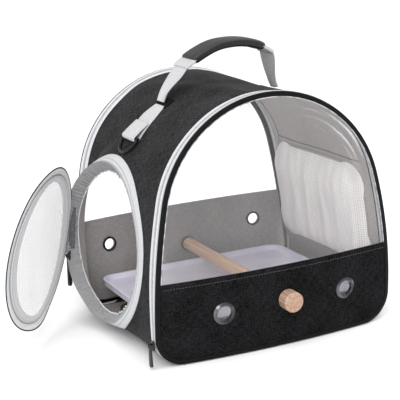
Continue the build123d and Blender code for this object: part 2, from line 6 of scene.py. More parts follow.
# %% Load the frame
import json
from functools import partial
import bmesh
import bpy
import numpy as np
from mathutils import Matrix, Vector

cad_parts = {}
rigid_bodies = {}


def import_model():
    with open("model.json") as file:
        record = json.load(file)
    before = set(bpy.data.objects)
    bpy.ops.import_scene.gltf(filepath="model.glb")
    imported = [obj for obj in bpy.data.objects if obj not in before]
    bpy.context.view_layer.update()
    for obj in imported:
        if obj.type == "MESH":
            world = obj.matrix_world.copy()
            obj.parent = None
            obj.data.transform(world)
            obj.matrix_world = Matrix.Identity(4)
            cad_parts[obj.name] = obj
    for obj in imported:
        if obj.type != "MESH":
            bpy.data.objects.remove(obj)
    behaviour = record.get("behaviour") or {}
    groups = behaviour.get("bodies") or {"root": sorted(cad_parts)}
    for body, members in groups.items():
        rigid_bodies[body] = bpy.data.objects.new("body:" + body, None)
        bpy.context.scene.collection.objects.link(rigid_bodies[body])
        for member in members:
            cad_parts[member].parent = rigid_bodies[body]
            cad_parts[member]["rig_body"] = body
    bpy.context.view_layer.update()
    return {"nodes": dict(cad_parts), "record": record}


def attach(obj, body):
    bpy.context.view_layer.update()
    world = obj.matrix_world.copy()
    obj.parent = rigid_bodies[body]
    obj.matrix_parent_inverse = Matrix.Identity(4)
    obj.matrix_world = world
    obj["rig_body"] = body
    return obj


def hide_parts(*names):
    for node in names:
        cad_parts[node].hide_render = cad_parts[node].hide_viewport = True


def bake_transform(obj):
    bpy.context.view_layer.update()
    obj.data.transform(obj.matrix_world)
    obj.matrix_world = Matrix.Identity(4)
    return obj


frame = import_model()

SLOT = {part["node"]: part["material_slot"] for part in frame["record"]["subparts"]}

# %% [markdown]
# ## The section
# From the front the body is a roof arc, a slow side arc and a small corner arc a side, and a flat
# floor. They meet without a kink, so a distance down the cloth from the top names one place, and
# the normal's angle falls evenly along each arc.

# %% Sizes of the section, in millimetres
ROOF_RADIUS, ROOF_Z = 147.0, 164.0
SIDE_RADIUS, SIDE_X, SIDE_Z = 698.154, -538.154, 45.0
CORNER_RADIUS, CORNER_X = 38.0, 121.963
HIGH = np.arctan2(ROOF_Z - SIDE_Z, -SIDE_X)
LOW = np.arctan2(CORNER_RADIUS - SIDE_Z, CORNER_X - SIDE_X)
ANGLES = [np.pi / 2, HIGH, LOW, -np.pi / 2]
ENDS = np.cumsum([0, ROOF_RADIUS * (np.pi / 2 - HIGH), SIDE_RADIUS * (HIGH - LOW),
                  CORNER_RADIUS * (LOW + np.pi / 2)])
HALF_RUN = ENDS[3] + CORNER_X
JOINT_Z = ROOF_Z + ROOF_RADIUS * np.sin(HIGH)
print("half of the section's length", round(HALF_RUN, 1), "mm")


# %% Places on the section
def smooth(t):
    """0 below 0, 1 above 1, and three t squared less two t cubed between."""
    t = np.clip(t, 0, 1)
    return t * t * (3 - 2 * t)


def grid(x, y, z):
    """Three coordinates, each of any fitting shape, as one array of points."""
    return np.stack(np.broadcast_arrays(x, y, z), -1)


def arch(run, inset):
    """Place and normal at a distance down from the top, positive to the right: the arc's centre
    plus its radius, less the inset, along the normal."""
    far = np.abs(run)
    angle = np.interp(far, ENDS, ANGLES)
    on = [far < ENDS[1], far < ENDS[2]]
    radius = np.select(on, [ROOF_RADIUS, SIDE_RADIUS], CORNER_RADIUS) - inset
    side = np.sign(run)
    x = np.select(on, [0.0, SIDE_X], CORNER_X) + radius * np.cos(angle)
    x = (x - np.maximum(far - ENDS[3], 0)) * side
    z = np.select(on, [ROOF_Z, SIDE_Z], CORNER_RADIUS) + radius * np.sin(angle)
    return x, z, np.cos(angle) * side, np.sin(angle)


def wall_run(z):
    """The distance down the section at which it passes a height, from each arc's sine."""
    on_side = ENDS[1] + SIDE_RADIUS * (HIGH - np.arcsin((z - SIDE_Z) / SIDE_RADIUS))
    on_roof = ROOF_RADIUS * (np.pi / 2 - np.arcsin(np.clip((z - ROOF_Z) / ROOF_RADIUS, -1, 1)))
    on_corner = ENDS[3] - CORNER_RADIUS * (
        np.pi / 2 + np.arcsin(np.clip((z - CORNER_RADIUS) / CORNER_RADIUS, -1, 1)))
    return np.select([z > JOINT_Z, z > CORNER_RADIUS - 0.5], [on_roof, on_side], on_corner)


def half_width(z, inset):
    """Half the section's width at a height, from each arc's circle."""
    roof = np.sqrt(np.maximum((ROOF_RADIUS - inset) ** 2 - (z - ROOF_Z) ** 2, 0))
    side = SIDE_X + np.sqrt((SIDE_RADIUS - inset) ** 2 - (z - SIDE_Z) ** 2)
    corner = CORNER_X + np.sqrt(
        np.maximum((CORNER_RADIUS - inset) ** 2 - (z - CORNER_RADIUS) ** 2, 0))
    return np.select([z > JOINT_Z, z > CORNER_RADIUS - 0.5], [roof, side], corner)


# %% [markdown]
# ## How sewn cloth settles
# Cloth between two zips is loose in the middle: it gets slow waves, the roof sags a little, and
# the open door pulls the rear edge of its frame outwards. One function moves every layer that
# lies on the wall, so they stay in order.

# %% Settling of the wall's layers
DOOR_Y, DOOR_Z, DOOR_RADIUS = 7.0, 121.0, 91.0
DOOR_HALF_Y, DOOR_HALF_Z = 89, 93


def door_reach(y, z):
    """Distance outside the door's outline, and how far a place is turned to its rear edge: 1 at
    the rear, a half above and below, 0 at the front."""
    dy, dz = (y - DOOR_Y) / DOOR_HALF_Y, (z - DOOR_Z) / DOOR_HALF_Z
    reach = np.hypot(dy, dz) + 1e-9
    return (reach - 1) * DOOR_RADIUS, (1 + dy / reach) / 2


def frame_pull(x, y, z):
    """Outward pull round the door: 2 mm at its front edge, 8 above and below, 16 at its rear. It
    is gone within 18 mm of cloth in front and behind and 40 mm above and below, and at the floor."""
    grow, rear = door_reach(y, z)
    width = 18 + 90 * rear * (1 - rear)
    amount = (2 + 14 * rear ** 1.2) * smooth((z - 4) / 24)
    return amount * smooth((width - grow) / (width - 3)) * (x < -100)


def settle(x, y, z):
    """Distance that cloth stands out: two crossed waves, the roof's sag and two soft ridges on it,
    none of them at the zips or the floor, plus the door's pull."""
    held = np.clip(1 - (y / 128) ** 4, 0, 1) * smooth((z - 6) / 50)
    waves = 0.55 * np.sin(0.031 * x + 0.045 * y + 0.052 * z)
    waves += 0.4 * np.sin(0.061 * x - 0.027 * y + 0.043 * z + 1.3)
    ridge = 2.2 * np.exp(-((x + 38 + 0.25 * y) / 15) ** 2)
    ridge = ridge + 1.6 * np.exp(-((x + 2 - 0.2 * y) / 11) ** 2)
    sag = (ridge - 4.2 * np.exp(-((x - 12) / 46) ** 2)) * (z > 200)
    return held * (waves + sag) + frame_pull(x, y, z)


def hang(x, y, z):
    """How far the loose lining of the right wall hangs inwards between its seams: 13 mm."""
    edges = smooth((115 - y) / 6) * smooth((y + 120) / 40)
    return -13.0 * edges * smooth((210 - z) / 55) * smooth((z - 32) / 50) * (x > 90)


def on_tunnel(run, y, inset, loose=0):
    """A point on a wall layer: the section's place moved along its normal by the settling."""
    x, z, out_x, out_z = arch(run, inset)
    lift = settle(x, y, z) + loose * hang(x, y, z)
    return grid(x + out_x * lift, y, z + out_z * lift)


on_lining = partial(on_tunnel, loose=1)

# %% [markdown]
# ## The end panels and the outlines in the walls
# Each end panel bulges like a piece of a very large ball. The door's outline is four arcs and the
# window's a box with round corners: both are kept as even points with normals, so a tape, a zip
# and a binding are the same outline, grown or shrunk.

# %% Places on the panels and the outlines
BULGE_RADIUS, BULGE_Y, BULGE_Z = 1072.667, 923.667, 135.0
FRONT, REAR = -1, 1
WINDOW = np.array([5.0, 132.0])


def skin_y(end, x, z, depth):
    """Where a panel's skin lies along Y: the ball's circle at that distance from its middle."""
    return end * (np.sqrt((BULGE_RADIUS - depth) ** 2 - x ** 2 - (z - BULGE_Z) ** 2) - BULGE_Y)


def on_panel(end, x, z, depth):
    """A point on a layer of an end panel."""
    return grid(x, skin_y(end, x, z, depth), z)


def on_edge(end, run, inset, depth):
    """A point near a panel's edge, by distance round the section and inwards."""
    x, z, _, _ = arch(run, inset)
    return on_panel(end, x, np.maximum(z, 1.1), depth)


def even(points, normals, count):
    """The closed line again at evenly spaced points: each coordinate is read off against length."""
    closed = np.vstack([points, points[:1]])
    length = np.concatenate([[0], np.cumsum(np.hypot(*np.diff(closed, axis=0).T))])
    at = np.linspace(0, length[-1], count, endpoint=False)
    turned = np.vstack([normals, normals[:1]])
    pick = [np.interp(at, length, values[:, i]) for values in (closed, turned) for i in (0, 1)]
    out = np.stack(pick[2:], -1)
    return np.stack(pick[:2], -1), out / np.linalg.norm(out, axis=1)[:, None], at, length[-1]


def directions(start):
    """Directions all the way round, as (y, z) shares."""
    turn = np.linspace(0, 2 * np.pi, 1440, endpoint=False) + start
    return np.stack([np.cos(turn), np.sin(turn)], -1)


def door_outline(count):
    """Centre of the arc that faces each direction, plus its radius along that direction."""
    out = directions(0)
    on_side = (np.abs(out[:, 1]) < 0.9651)[:, None]
    centre = np.where(on_side, [[-4.615, 0]] * np.sign(out[:, :1]) * [1, 0],
                      [[0, 17.0]] * np.sign(out[:, 1:]))
    points = centre + out * np.where(on_side, 93.615, 76.0)
    return even(points + [DOOR_Y, DOOR_Z], out, count)


def window_outline(count):
    """The corner that faces each direction, plus the corner's radius; straight sides between."""
    out = directions(1e-4)
    return even(np.sign(out) * [63.0, 26.0] + 30.0 * out + WINDOW, out, count)


def spot_on(outline, index):
    """An outline's places and normals at some indices: y, z, and the normal's y and z."""
    k = index.astype(int) % len(outline[0])
    return *np.moveaxis(outline[0][k], -1, 0), *np.moveaxis(outline[1][k], -1, 0)


def on_outline(outline, side, surface=on_tunnel):
    """A function that places (index round the outline, growth, inset) on one wall."""
    def place(index, grow, inset):
        y, z, out_y, out_z = spot_on(outline, index)
        return surface(side * wall_run(z + out_z * grow), y + out_y * grow, inset)
    return place


COLLAR = 13.0


def on_collar(outline):
    """As on_outline for the door frame, whose tape stands up where its growth falls from 14 to 0:
    by 13 mm at the rear edge, 7 above and below, and not at the front."""
    flat = on_outline(outline, -1)

    def place(index, grow, inset):
        y, z, _, _ = spot_on(outline, index)
        stand = COLLAR * door_reach(y, z)[1] ** 0.9 * np.clip((14 - grow) / 14, 0, 1.1)
        return flat(index, grow + 0.45 * stand, inset - stand)
    return place


HINGE_X, HINGE_Y, OPEN = -158.6, 110.0, np.radians(46)
FLAP_PULL, FLAP_LEAN, FLAP_CURL = 18.0, 0.11, 4.0


def opened(points):
    """A shut flap's points swung out about its hinge. The hinge side rides on the frame's collar
    and curls inwards, and the foot leans out a little."""
    x, y, z = np.moveaxis(points, -1, 0)
    share = np.clip((y + 89) / 192, 0, 1.05)
    grow, rear = door_reach(y, z)
    curl = FLAP_CURL * rear ** 2 * smooth((grow + 22) / 26)
    dx, dy = x - HINGE_X, y - HINGE_Y
    pull = -FLAP_PULL * share + FLAP_LEAN * (z - DOOR_Z)
    return grid(HINGE_X + dx * np.cos(OPEN) + dy * np.sin(OPEN) + pull + curl * np.cos(OPEN),
                HINGE_Y - dx * np.sin(OPEN) + dy * np.cos(OPEN) - curl * np.sin(OPEN), z)


def flat_wall(y, z, inset):
    """A point on the left wall before anything has settled."""
    x, z, _, _ = arch(-wall_run(z), inset)
    return grid(x, y, z)


door, fine, dense = door_outline(400), door_outline(1600), door_outline(1200)
window = window_outline(400)
print("door outline", round(door[3]), "mm, window outline", round(window[3]), "mm round")

# %% [markdown]
# ## From a grid of points to a mesh
# Every piece is a grid: rows run along it, columns across it, and a closed direction joins its
# last line to its first. The UV map holds metres, so a weave keeps its size on every piece.


# %% The mesh helper
def make(name, points, along, across, loop=(False, False), keep=None, caps=False,
         inside=(0, 0, 130)):
    """A mesh from a (rows, columns, 3) grid in mm. keep picks faces by row, column and centre.
    Faces of an open sheet are turned away from inside."""
    rows, columns = points.shape[:2]
    r, c = np.meshgrid(np.arange(rows - (not loop[0])), np.arange(columns - (not loop[1])),
                       indexing="ij")
    row = np.stack([r, r + 1, r + 1, r], -1).reshape(-1, 4)
    column = np.stack([c, c, c + 1, c + 1], -1).reshape(-1, 4)
    faces = (row % rows) * columns + column % columns
    flat = points.reshape(-1, 3)
    if keep is not None:
        kept = keep(r.ravel(), c.ravel(), flat[faces].mean(1))
        faces, row, column = faces[kept], row[kept], column[kept]
    uv = np.stack([np.asarray(along)[row], np.asarray(across)[column]], -1) / 1000
    if not loop[1]:
        a, b, d = flat[faces[:, 0]], flat[faces[:, 1]], flat[faces[:, 3]]
        if (np.cross(b - a, d - a) * (a - np.array(inside))).sum() < 0:
            faces, uv = faces[:, ::-1], uv[:, ::-1]
    mesh = bpy.data.meshes.new(name)
    ends = [list(range(columns)), list(range((rows - 1) * columns, rows * columns))] if caps else []
    mesh.from_pydata((flat / 1000).tolist(), [], faces.tolist() + ends)
    corners = np.vstack([uv.reshape(-1, 2), np.zeros((2 * columns if caps else 0, 2))])
    mesh.uv_layers.new(name="UVMap").data.foreach_set("uv", corners.ravel())
    shape = bmesh.new()
    shape.from_mesh(mesh)
    bmesh.ops.remove_doubles(shape, verts=shape.verts, dist=1e-6)
    if keep is not None:
        bmesh.ops.delete(shape, geom=[v for v in shape.verts if not v.link_faces], context="VERTS")
    if loop[1]:
        bmesh.ops.recalc_face_normals(shape, faces=shape.faces)
    shape.to_mesh(mesh)
    shape.free()
    mesh.shade_smooth()
    piece = bpy.data.objects.new(name, mesh)
    bpy.context.scene.collection.objects.link(piece)
    return piece


def world_uv(piece):
    """A map for a sheet that lies in a wall: the distance along Y and the height, in metres."""
    where = np.zeros(len(piece.data.loops), int)
    piece.data.loops.foreach_get("vertex_index", where)
    place = np.zeros(len(piece.data.vertices) * 3)
    piece.data.vertices.foreach_get("co", place)
    place = place.reshape(-1, 3)[where]
    flat = np.stack([np.hypot(place[:, 0] * (place[:, 0] < 0), place[:, 1]), place[:, 2]], -1)
    piece.data.uv_layers[0].data.foreach_set("uv", flat.ravel())


def strip_section(low, high, outer, inner, count=7, ribs=()):
    """A tape's closed section: its outer face from low to high, thinner towards the edges, with
    ribs at some shares of its width, then its inner face back."""
    u = np.linspace(-1, 1, count)
    body = 0.5 + 0.5 * np.sqrt(1 - u ** 6)
    for place in ribs:
        body = body + 0.55 * np.exp(-((u - place) / 0.09) ** 2)
    a = (low + high) / 2 + (high - low) / 2 * u
    face = inner + (outer - inner) * body
    return np.concatenate([a, a[::-1]]), np.concatenate([face, np.full(count, float(inner))])


def round_section(a, b, half_a, half_b, power=1.0, count=12):
    """A section whose cosine and sine have a power: 1 is an ellipse, less is squarer."""
    turn = (np.arange(count) + 0.5) / count * 2 * np.pi
    c, s = np.cos(turn), np.sin(turn)
    return (a + half_a * np.sign(c) * np.abs(c) ** power,
            b + half_b * np.sign(s) * np.abs(s) ** power)


def carry(name, place, path, section, closed=False, swell=None, along=None, rows=None):
    """A closed section carried along a path on some surface. swell scales it about its middle,
    row by row; rows splits the piece into lengths of that many rows."""
    a, b = section
    scale = np.ones(len(path)) if swell is None else swell
    grid_a = a.mean() + (a - a.mean())[None, :] * scale[:, None]
    grid_b = b.mean() + (b - b.mean())[None, :] * scale[:, None]
    points = place(path[:, None], grid_a, grid_b)
    step = np.diff(np.stack([np.append(a, a[0]), np.append(b, b[0])], -1), axis=0)
    across = np.concatenate([[0], np.cumsum(np.hypot(*step.T))])
    along = path if along is None else along
    if closed:
        along = np.append(along, 2 * along[-1] - along[-2])
    keep = None if rows is None else (lambda r, c, centre: r % rows != rows - 1)
    return make(name, points, along, across, (closed, True), keep, not closed and rows is None)


ZIP_END = wall_run(np.array(14.0))
ARCH_PATH = np.linspace(-ZIP_END, ZIP_END, 381)


# %% [markdown]
# ## Helpers for materials
# Colours are the sRGB values of a paint chip, turned to linear light by one function. One method
# adds every node.

# %% Colour and node helpers
def srgb(code, alpha=1.0):
    """An sRGB hex colour in linear light: the display's curve undone."""
    value = np.array([int(code[i:i + 2], 16) for i in (1, 3, 5)]) / 255
    linear = np.where(value <= 0.04045, value / 12.92, ((value + 0.055) / 1.055) ** 2.4)
    return (*linear.tolist(), alpha)


class Paint:
    """A new material with its Principled shader, and short ways to add to it."""

    def __init__(self, name, **sockets):
        self.material = bpy.data.materials.new(name)
        self.material.use_nodes = True
        self.tree = self.material.node_tree
        self.shader = self.tree.nodes["Principled BSDF"].inputs
        for key, value in sockets.items():
            self.shader[key.replace("_", " ")].default_value = value

    def node(self, kind, inputs=None, **settings):
        """Adds one shader node, sets its own settings, and fills or links its inputs."""
        made = self.tree.nodes.new(f"ShaderNode{kind}")
        for key, value in settings.items():
            setattr(made, key, value)
        for key, value in (inputs or {}).items():
            if isinstance(value, bpy.types.NodeSocket):
                self.tree.links.new(value, made.inputs[key])
            else:
                made.inputs[key].default_value = value
        return made

    def link(self, output, socket="Base Color"):
        """Joins an output to one of the shader's sockets."""
        self.tree.links.new(output, self.shader[socket])

    def ramp(self, factor, *stops):
        """A colour ramp with (place, hex) stops."""
        made = self.node("ValToRGB", {"Fac": factor})
        bar = made.color_ramp
        while len(bar.elements) < len(stops):
            bar.elements.new(0.5)
        for element, (place, code) in zip(bar.elements, stops):
            element.position, element.color = place, srgb(code)
        return made.outputs["Color"]

    def bump(self, height, strength, millimetres):
        """Links a height to the shader's normal."""
        made = self.node("Bump", {"Strength": strength, "Distance": millimetres / 1000,
                                  "Height": height})
        self.link(made.outputs["Normal"], "Normal")

    def noise(self, coordinate, size, detail=2.0, seed=0.0):
        """Noise whose grain is (along, across, up) millimetres."""
        vector = self.node("Mapping", {"Vector": coordinate, "Scale": [1000 / s for s in size],
                                       "Location": (seed, 2 * seed, 0)}).outputs["Vector"]
        return self.node("TexNoise", {"Vector": vector, "Scale": 1.0,
                                      "Detail": detail}).outputs["Fac"]

    def waves(self, coordinate, period, direction="X"):
        """Bands of one period in millimetres; a wave's own period is 0.314 of its scale."""
        return self.node("TexWave", {"Vector": coordinate, "Scale": 314.16 / period, "Detail": 0.0},
                         bands_direction=direction).outputs["Fac"]

    def add(self, a, b, operation="ADD"):
        """Two values joined by one sum."""
        return self.node("Math", {0: a, 1: b}, operation=operation).outputs["Value"]

    def times(self, a, b):
        """Two values multiplied."""
        return self.add(a, b, "MULTIPLY")

    def mix(self, a, b, share):
        """A share of one value and the rest of another."""
        return self.add(self.times(a, share), self.times(b, round(1 - share, 2)))

    def remap(self, value, low, high, to_low, to_high, curve="LINEAR"):
        """A value's range stretched to another and cut off at its ends."""
        return self.node("MapRange", {"Value": value, "From Min": low, "From Max": high,
                                      "To Min": to_low, "To Max": to_high},
                         interpolation_type=curve).outputs["Result"]

    def over(self, factor, under, code):
        """One flat colour laid over another by a factor."""
        return self.node("Mix", {"Factor": factor, 6: under, 7: srgb(code)},
                         data_type="RGBA").outputs[2]

    def coordinates(self, kind="UV"):
        """The UV map in metres, or the object's own coordinates."""
        return self.node("TexCoord").outputs[kind]


def woven(name, dark, light, thread, roughness, sheen, depth):
    """Plain woven cloth: slubs along both threads, in colour and height, and a slow unevenness
    from dyeing and handling."""
    paint = Paint(name, Roughness=roughness, Sheen_Weight=sheen, Sheen_Roughness=0.5,
                  Specular_IOR_Level=0.06)
    uv = paint.coordinates()
    warp = paint.noise(uv, (thread * 7, thread, thread * 7), seed=3)
    weft = paint.noise(uv, (thread, thread * 7, thread), seed=9)
    cloud = paint.noise(uv, (46, 38, 46), seed=5)
    height = paint.mix(warp, weft, 0.5)
    tone = paint.mix(height, cloud, 0.82)
    paint.link(paint.ramp(tone, (0.4, dark), (0.62, light)))
    paint.bump(height, 0.7, depth)
    return paint.material


def ribbed(name, dark, light, rib, roughness, lines=(), line=None, sheen=0.2, mirror=0.3):
    """Grosgrain tape: ribs across it, and thin lines along it at some mm from its edge."""
    paint = Paint(name, Roughness=roughness, Sheen_Weight=sheen, Specular_IOR_Level=mirror)
    uv = paint.coordinates()
    ribs = paint.waves(uv, rib)
    grain = paint.noise(uv, (1.6, 5.0, 1.6), seed=2)
    colour = paint.ramp(paint.mix(ribs, grain, 0.35), (0.3, dark), (0.7, light))
    if lines:
        across = paint.node("SeparateXYZ", {"Vector": uv}).outputs["Y"]
        share = paint.times(across, 1000 / 40)
        stops = [(0.0, "#000000")]
        for at in lines:
            stops += [((at - 0.75) / 40, "#000000"), ((at - 0.3) / 40, "#ffffff"),
                      ((at + 0.3) / 40, "#ffffff"), ((at + 0.75) / 40, "#000000")]
        colour = paint.over(paint.ramp(share, *stops), colour, line)
    paint.link(colour)
    paint.bump(ribs, 0.35, 0.25)
    return paint.material


def toned(name, low, high, size=None, kind="UV", seed=0.0, **sockets):
    """A plain surface whose colour follows one noise, or a thread's twist when it has no size."""
    paint = Paint(name, **sockets)
    uv = paint.coordinates(kind)
    paint.link(paint.ramp(paint.noise(uv, size, seed=seed) if size else paint.waves(uv, 0.6),
                          low, high))
    return paint.material


# %% [markdown]
# ## The materials
# The shell is black polyester linen with slubs, the lining thin grey oxford; edges are bound in
# grosgrain; handle and strap tabs are twill webbing. Thread is drawn about twice its real size,
# because the real one is too fine to show.

# %% Cloth, tape and webbing
linen = woven("woven black polyester linen", "#030303", "#3a3a3c", 1.0, 0.9, 0.04, 0.4)
# The bands and the floor cloth get a darker copy of the linen: painted shade.
shaded_band_linen = woven("woven black polyester linen, front", "#020202", "#242426", 1.0, 0.9, 0.0, 0.4)
lining = woven("woven grey oxford lining", "#9d9796", "#b3adab", 1.1, 0.8, 0.15, 0.15)
# The bands' lining is a darker copy of the grey oxford lining: painted shade.
band_lining = woven("woven grey oxford band lining", "#918d8c", "#a6a2a1", 1.1, 0.8, 0.1, 0.15)
grey_cloth = woven("woven grey polyester border", "#dadbdd", "#eeeff0", 1.0, 0.8, 0.2, 0.15)
gathered = woven("gathered grey polyester", "#7b7b7c", "#909091", 1.0, 0.8, 0.2, 0.12)
# The gusset's dark grey is painted shade.
shaded_gusset_cloth = woven("woven grey gusset, darkened as painted shade", "#474748", "#6a6a6c", 1.0, 0.85, 0.2, 0.2)
light_tape = ribbed("woven pale grey zip tape", "#b9babc", "#dfe0e2", 1.4, 0.62, (2.4,), "#aaabae")
wide_tape = ribbed("woven pale grey door tape", "#aeafb1", "#c8c9cb", 1.4, 0.62, (4.6,), "#97989b")
flap_tape = ribbed("woven pale grey flap tape", "#c6c7c9", "#e0e1e2", 1.4, 0.62, (21.5,), "#a4a5a8")
black_tape = ribbed("woven black grosgrain binding", "#020203", "#131315", 1.4, 0.5, sheen=0.0,
                    mirror=0.12)
grey_binding = ribbed("woven grey seam binding", "#8f8a89", "#a8a3a1", 1.4, 0.7)
webbing = ribbed("woven grey twill webbing", "#adadaf", "#cbcbcd", 1.5, 0.7, (3.2, 34.2, 41.0),
                 "#a6a6a8")
black_webbing = ribbed("woven black twill webbing", "#050505", "#1a1a1b", 1.5, 0.8, sheen=0.0,
                       mirror=0.1)
nylon = toned("extruded pale grey nylon coil", (0.3, "#85878b"), (0.7, "#aeb0b4"), (1.5, 1.5, 1.5),
              Roughness=0.45)
thread = toned("spun polyester thread", (0.2, "#8f9093"), (0.8, "#d9dadc"), Roughness=0.6,
               Sheen_Weight=0.3)
dark_thread = toned("spun black polyester thread", (0.2, "#0c0c0d"), (0.8, "#39393b"),
                    Roughness=0.6, Sheen_Weight=0.3)
# The film's folded edge is drawn as an opaque pale grey bead: painted highlight.
highlight_welt = toned("folded PVC edge, painted highlight", (0.35, "#77797c"), (0.6, "#c2c4c7"), (9, 3, 3), seed=5,
             Roughness=0.2)
print("cloths, tapes and threads", len(bpy.data.materials))

# %% [markdown]
# The clear panels are plasticised PVC film. It shows by a faint veil, a painted reflection that
# grows towards a glancing view, by soft streaks of painted reflection, and by curved lines of
# painted shine inside its upper right edge.

# %% Film
paint = Paint("calendered clear PVC film", Roughness=0.07, IOR=1.53)
film = paint.material
film.surface_render_method = "BLENDED"
place = paint.coordinates("Object")
# Soft streaks of painted reflection from a long noise, in the film's alpha and its colour.
painted_streak_noise = paint.noise(place, (26, 60, 190), 1.5, 4)
painted_streak = paint.remap(painted_streak_noise, 0.58, 0.78, 0.0, 0.04)
# Curved lines of painted shine near each window's upper right edge.
centred = paint.node("Mapping", {"Vector": place, "Location": (0, 0, -ROOF_Z / 1000),
                                 "Scale": (1, 0, 1)}).outputs["Vector"]
radius = paint.node("VectorMath", {0: centred}, operation="LENGTH").outputs["Value"]
split = paint.node("SeparateXYZ", {"Vector": centred}).outputs
bent = paint.node("CombineXYZ", {"X": paint.times(radius, 310.0), "Y": paint.times(split["X"], 13.0),
                                 "Z": paint.times(split["Z"], 13.0)}).outputs["Vector"]
lines = paint.node("TexNoise", {"Vector": bent, "Scale": 1.0, "Detail": 1.0}).outputs["Fac"]
corner = paint.times(paint.remap(split["Z"], 0.0, 0.05, 0.0, 1.0, "SMOOTHSTEP"),
                     paint.remap(split["X"], 0.02, 0.06, 0.0, 1.0, "SMOOTHSTEP"))
rim = paint.times(paint.remap(radius, 0.108, 0.132, 0.0, 1.0, "SMOOTHSTEP"), corner)
painted_shine = paint.times(paint.remap(lines, 0.55, 0.72, 0.0, 0.28), rim)
# A white veil that grows towards a glancing view: painted reflection.
facing = paint.node("LayerWeight", {"Blend": 0.35}).outputs["Facing"]
painted_veil = paint.add(paint.remap(facing, 0.15, 1.0, 0.03, 0.32), painted_streak)
paint.link(paint.add(painted_veil, painted_shine), "Alpha")
paint.link(paint.ramp(painted_streak_noise, (0.4, "#eef1f4"), (0.7, "#ffffff")))
paint.bump(paint.noise(place, (30, 40, 70), 1.0, 1), 0.25, 0.6)
print("film", film.name)

# %% [markdown]
# The door's mesh is a white warp-knitted net, the window's a softer off-white one. Both are drawn
# with openings 3 mm apart, as finer ones would be lost: two crossed waves multiply into dots,
# and the dots let light through.


# %% Nets
def net(name, dark, light, pitch, clear, solid):
    """A knitted net: dots where two crossed waves meet are nearly clear."""
    paint = Paint(name, Roughness=0.7, Sheen_Weight=0.2)
    paint.material.surface_render_method = "BLENDED"
    uv = paint.coordinates()
    dots = paint.times(paint.waves(uv, pitch), paint.waves(uv, pitch, "Y"))
    paint.link(paint.remap(dots, 0.3, 0.75, solid, clear), "Alpha")
    cloud = paint.noise(uv, (18, 90, 18), seed=7)
    paint.link(paint.ramp(cloud, (0.35, dark), (0.65, light)))
    paint.bump(dots, 0.3, 0.3)
    return paint.material


door_net = net("warp-knitted white net", "#f6f6f7", "#fdfdfd", 3.0, 0.1, 0.6)
window_net = net("warp-knitted off-white net", "#ebe6e4", "#fbf9f8", 3.0, 0.55, 0.9)

# %% [markdown]
# The hard parts keep their CAD shapes. Eyelets are rolled and plated, the rear ones enamelled.
# The perch and its caps are sanded birch. The tray is injection-moulded polystyrene with a fine
# satin texture; pulls are moulded and sliders cast. The grip's foam rubber has painted shade below.


# %% Materials of the hard parts and the grip
def moulded(name, dark, light, roughness, grain=1.2, depth=0.05, painted_shade_below=False, **sockets):
    """A moulded or cast surface: a fine texture, a slow change of tone and uneven gloss; on request,
    a near-black painted shade on its underside.
    """
    paint = Paint(name, **sockets)
    place = paint.coordinates("Object")
    fine = paint.noise(place, (grain, grain, grain), 3)
    colour = paint.ramp(paint.noise(place, (60, 60, 60), 2, 6), (0.35, dark), (0.65, light))
    if painted_shade_below:
        # Painted shade: a near-black band round the sleeve's underside.
        around = paint.node("SeparateXYZ", {"Vector": paint.coordinates()}).outputs["Y"]
        under = paint.ramp(paint.times(around, 10.0), (0.0, "#ffffff"), (0.012, "#ffffff"),
                           (0.02, "#000000"), (0.375, "#000000"), (0.39, "#ffffff"))
        colour = paint.over(under, colour, "#060606")
    paint.link(colour)
    paint.link(paint.remap(fine, 0, 1, roughness * 0.8, roughness * 1.25), "Roughness")
    paint.bump(fine, 0.4, depth)
    return paint.material


def wood(name, dark, light, axis):
    """Sanded birch: rings stretched along the dowel, fine pores and a matt face."""
    paint = Paint(name, Roughness=0.55)
    place = paint.coordinates("Object")
    size = [2.2, 2.2, 2.2]
    size[axis] = 60.0
    grain = paint.noise(place, size, 4, 2)
    pores = paint.noise(place, [s / 3 for s in size], 2, 8)
    paint.link(paint.ramp(paint.mix(grain, pores, 0.75), (0.32, dark), (0.66, light)))
    paint.bump(pores, 0.3, 0.08)
    return paint.material


nickel = moulded("rolled steel, nickel plated", "#3c3c3f", "#7c7c7f", 0.2, 3, 0.02, Metallic=1.0)
enamel = moulded("rolled steel, black enamel", "#0b0b0c", "#19191b", 0.25, 3, 0.02)
zinc = moulded("turned steel, zinc plated", "#8c8d90", "#b9babd", 0.32, 1, 0.03, Metallic=1.0)
gunmetal = moulded("bent wire, gunmetal plated", "#1d1d20", "#37373b", 0.28, 2, 0.02, Metallic=0.9)
black_metal = moulded("cast zinc, black enamel", "#0d0d0e", "#1e1e20", 0.35, 1.2, 0.04)
pull_rubber = moulded("moulded black rubber", "#111112", "#1f1f21", 0.5, 0.9, 0.08)
polystyrene = moulded("injection-moulded lilac-grey polystyrene", "#d5d1e0", "#e4e1ee", 0.34, 1.6,
                      0.04)
fibre = moulded("pressed grey fibreboard", "#3a3a3c", "#515154", 0.75, 1.0, 0.1)
foam = moulded("skinned black foam rubber", "#1d1d1e", "#343436", 0.48, 1.1, 0.12, painted_shade_below=True)
birch = wood("turned birch, sanded", "#c39b80", "#e6c6ae", 1)
pale_birch = wood("turned birch cap, sanded", "#8f715d", "#bb9b86", 1)

CARRIED = {
    nickel: ["front_eyelets", "front_eyelet_washers"],
    enamel: ["rear_eyelets", "rear_eyelet_washers"],
    zinc: ["perch_studs", "perch_washers"],
    birch: ["perch_dowel"],
    pale_birch: ["front_perch_cap", "rear_perch_cap"],
    polystyrene: ["tray"],
    fibre: ["base_board"],
    gunmetal: ["left_d_ring", "right_d_ring"],
    black_metal: ["front_slider", "rear_slider", "door_slider"],
    pull_rubber: ["front_pull", "rear_pull", "door_pull"],
}
for material, names in CARRIED.items():
    for name in names:
        mesh = frame["nodes"][name].data
        mesh.materials.clear()
        mesh.materials.append(material)
print("hard nodes kept", sum(map(len, CARRIED.values())))
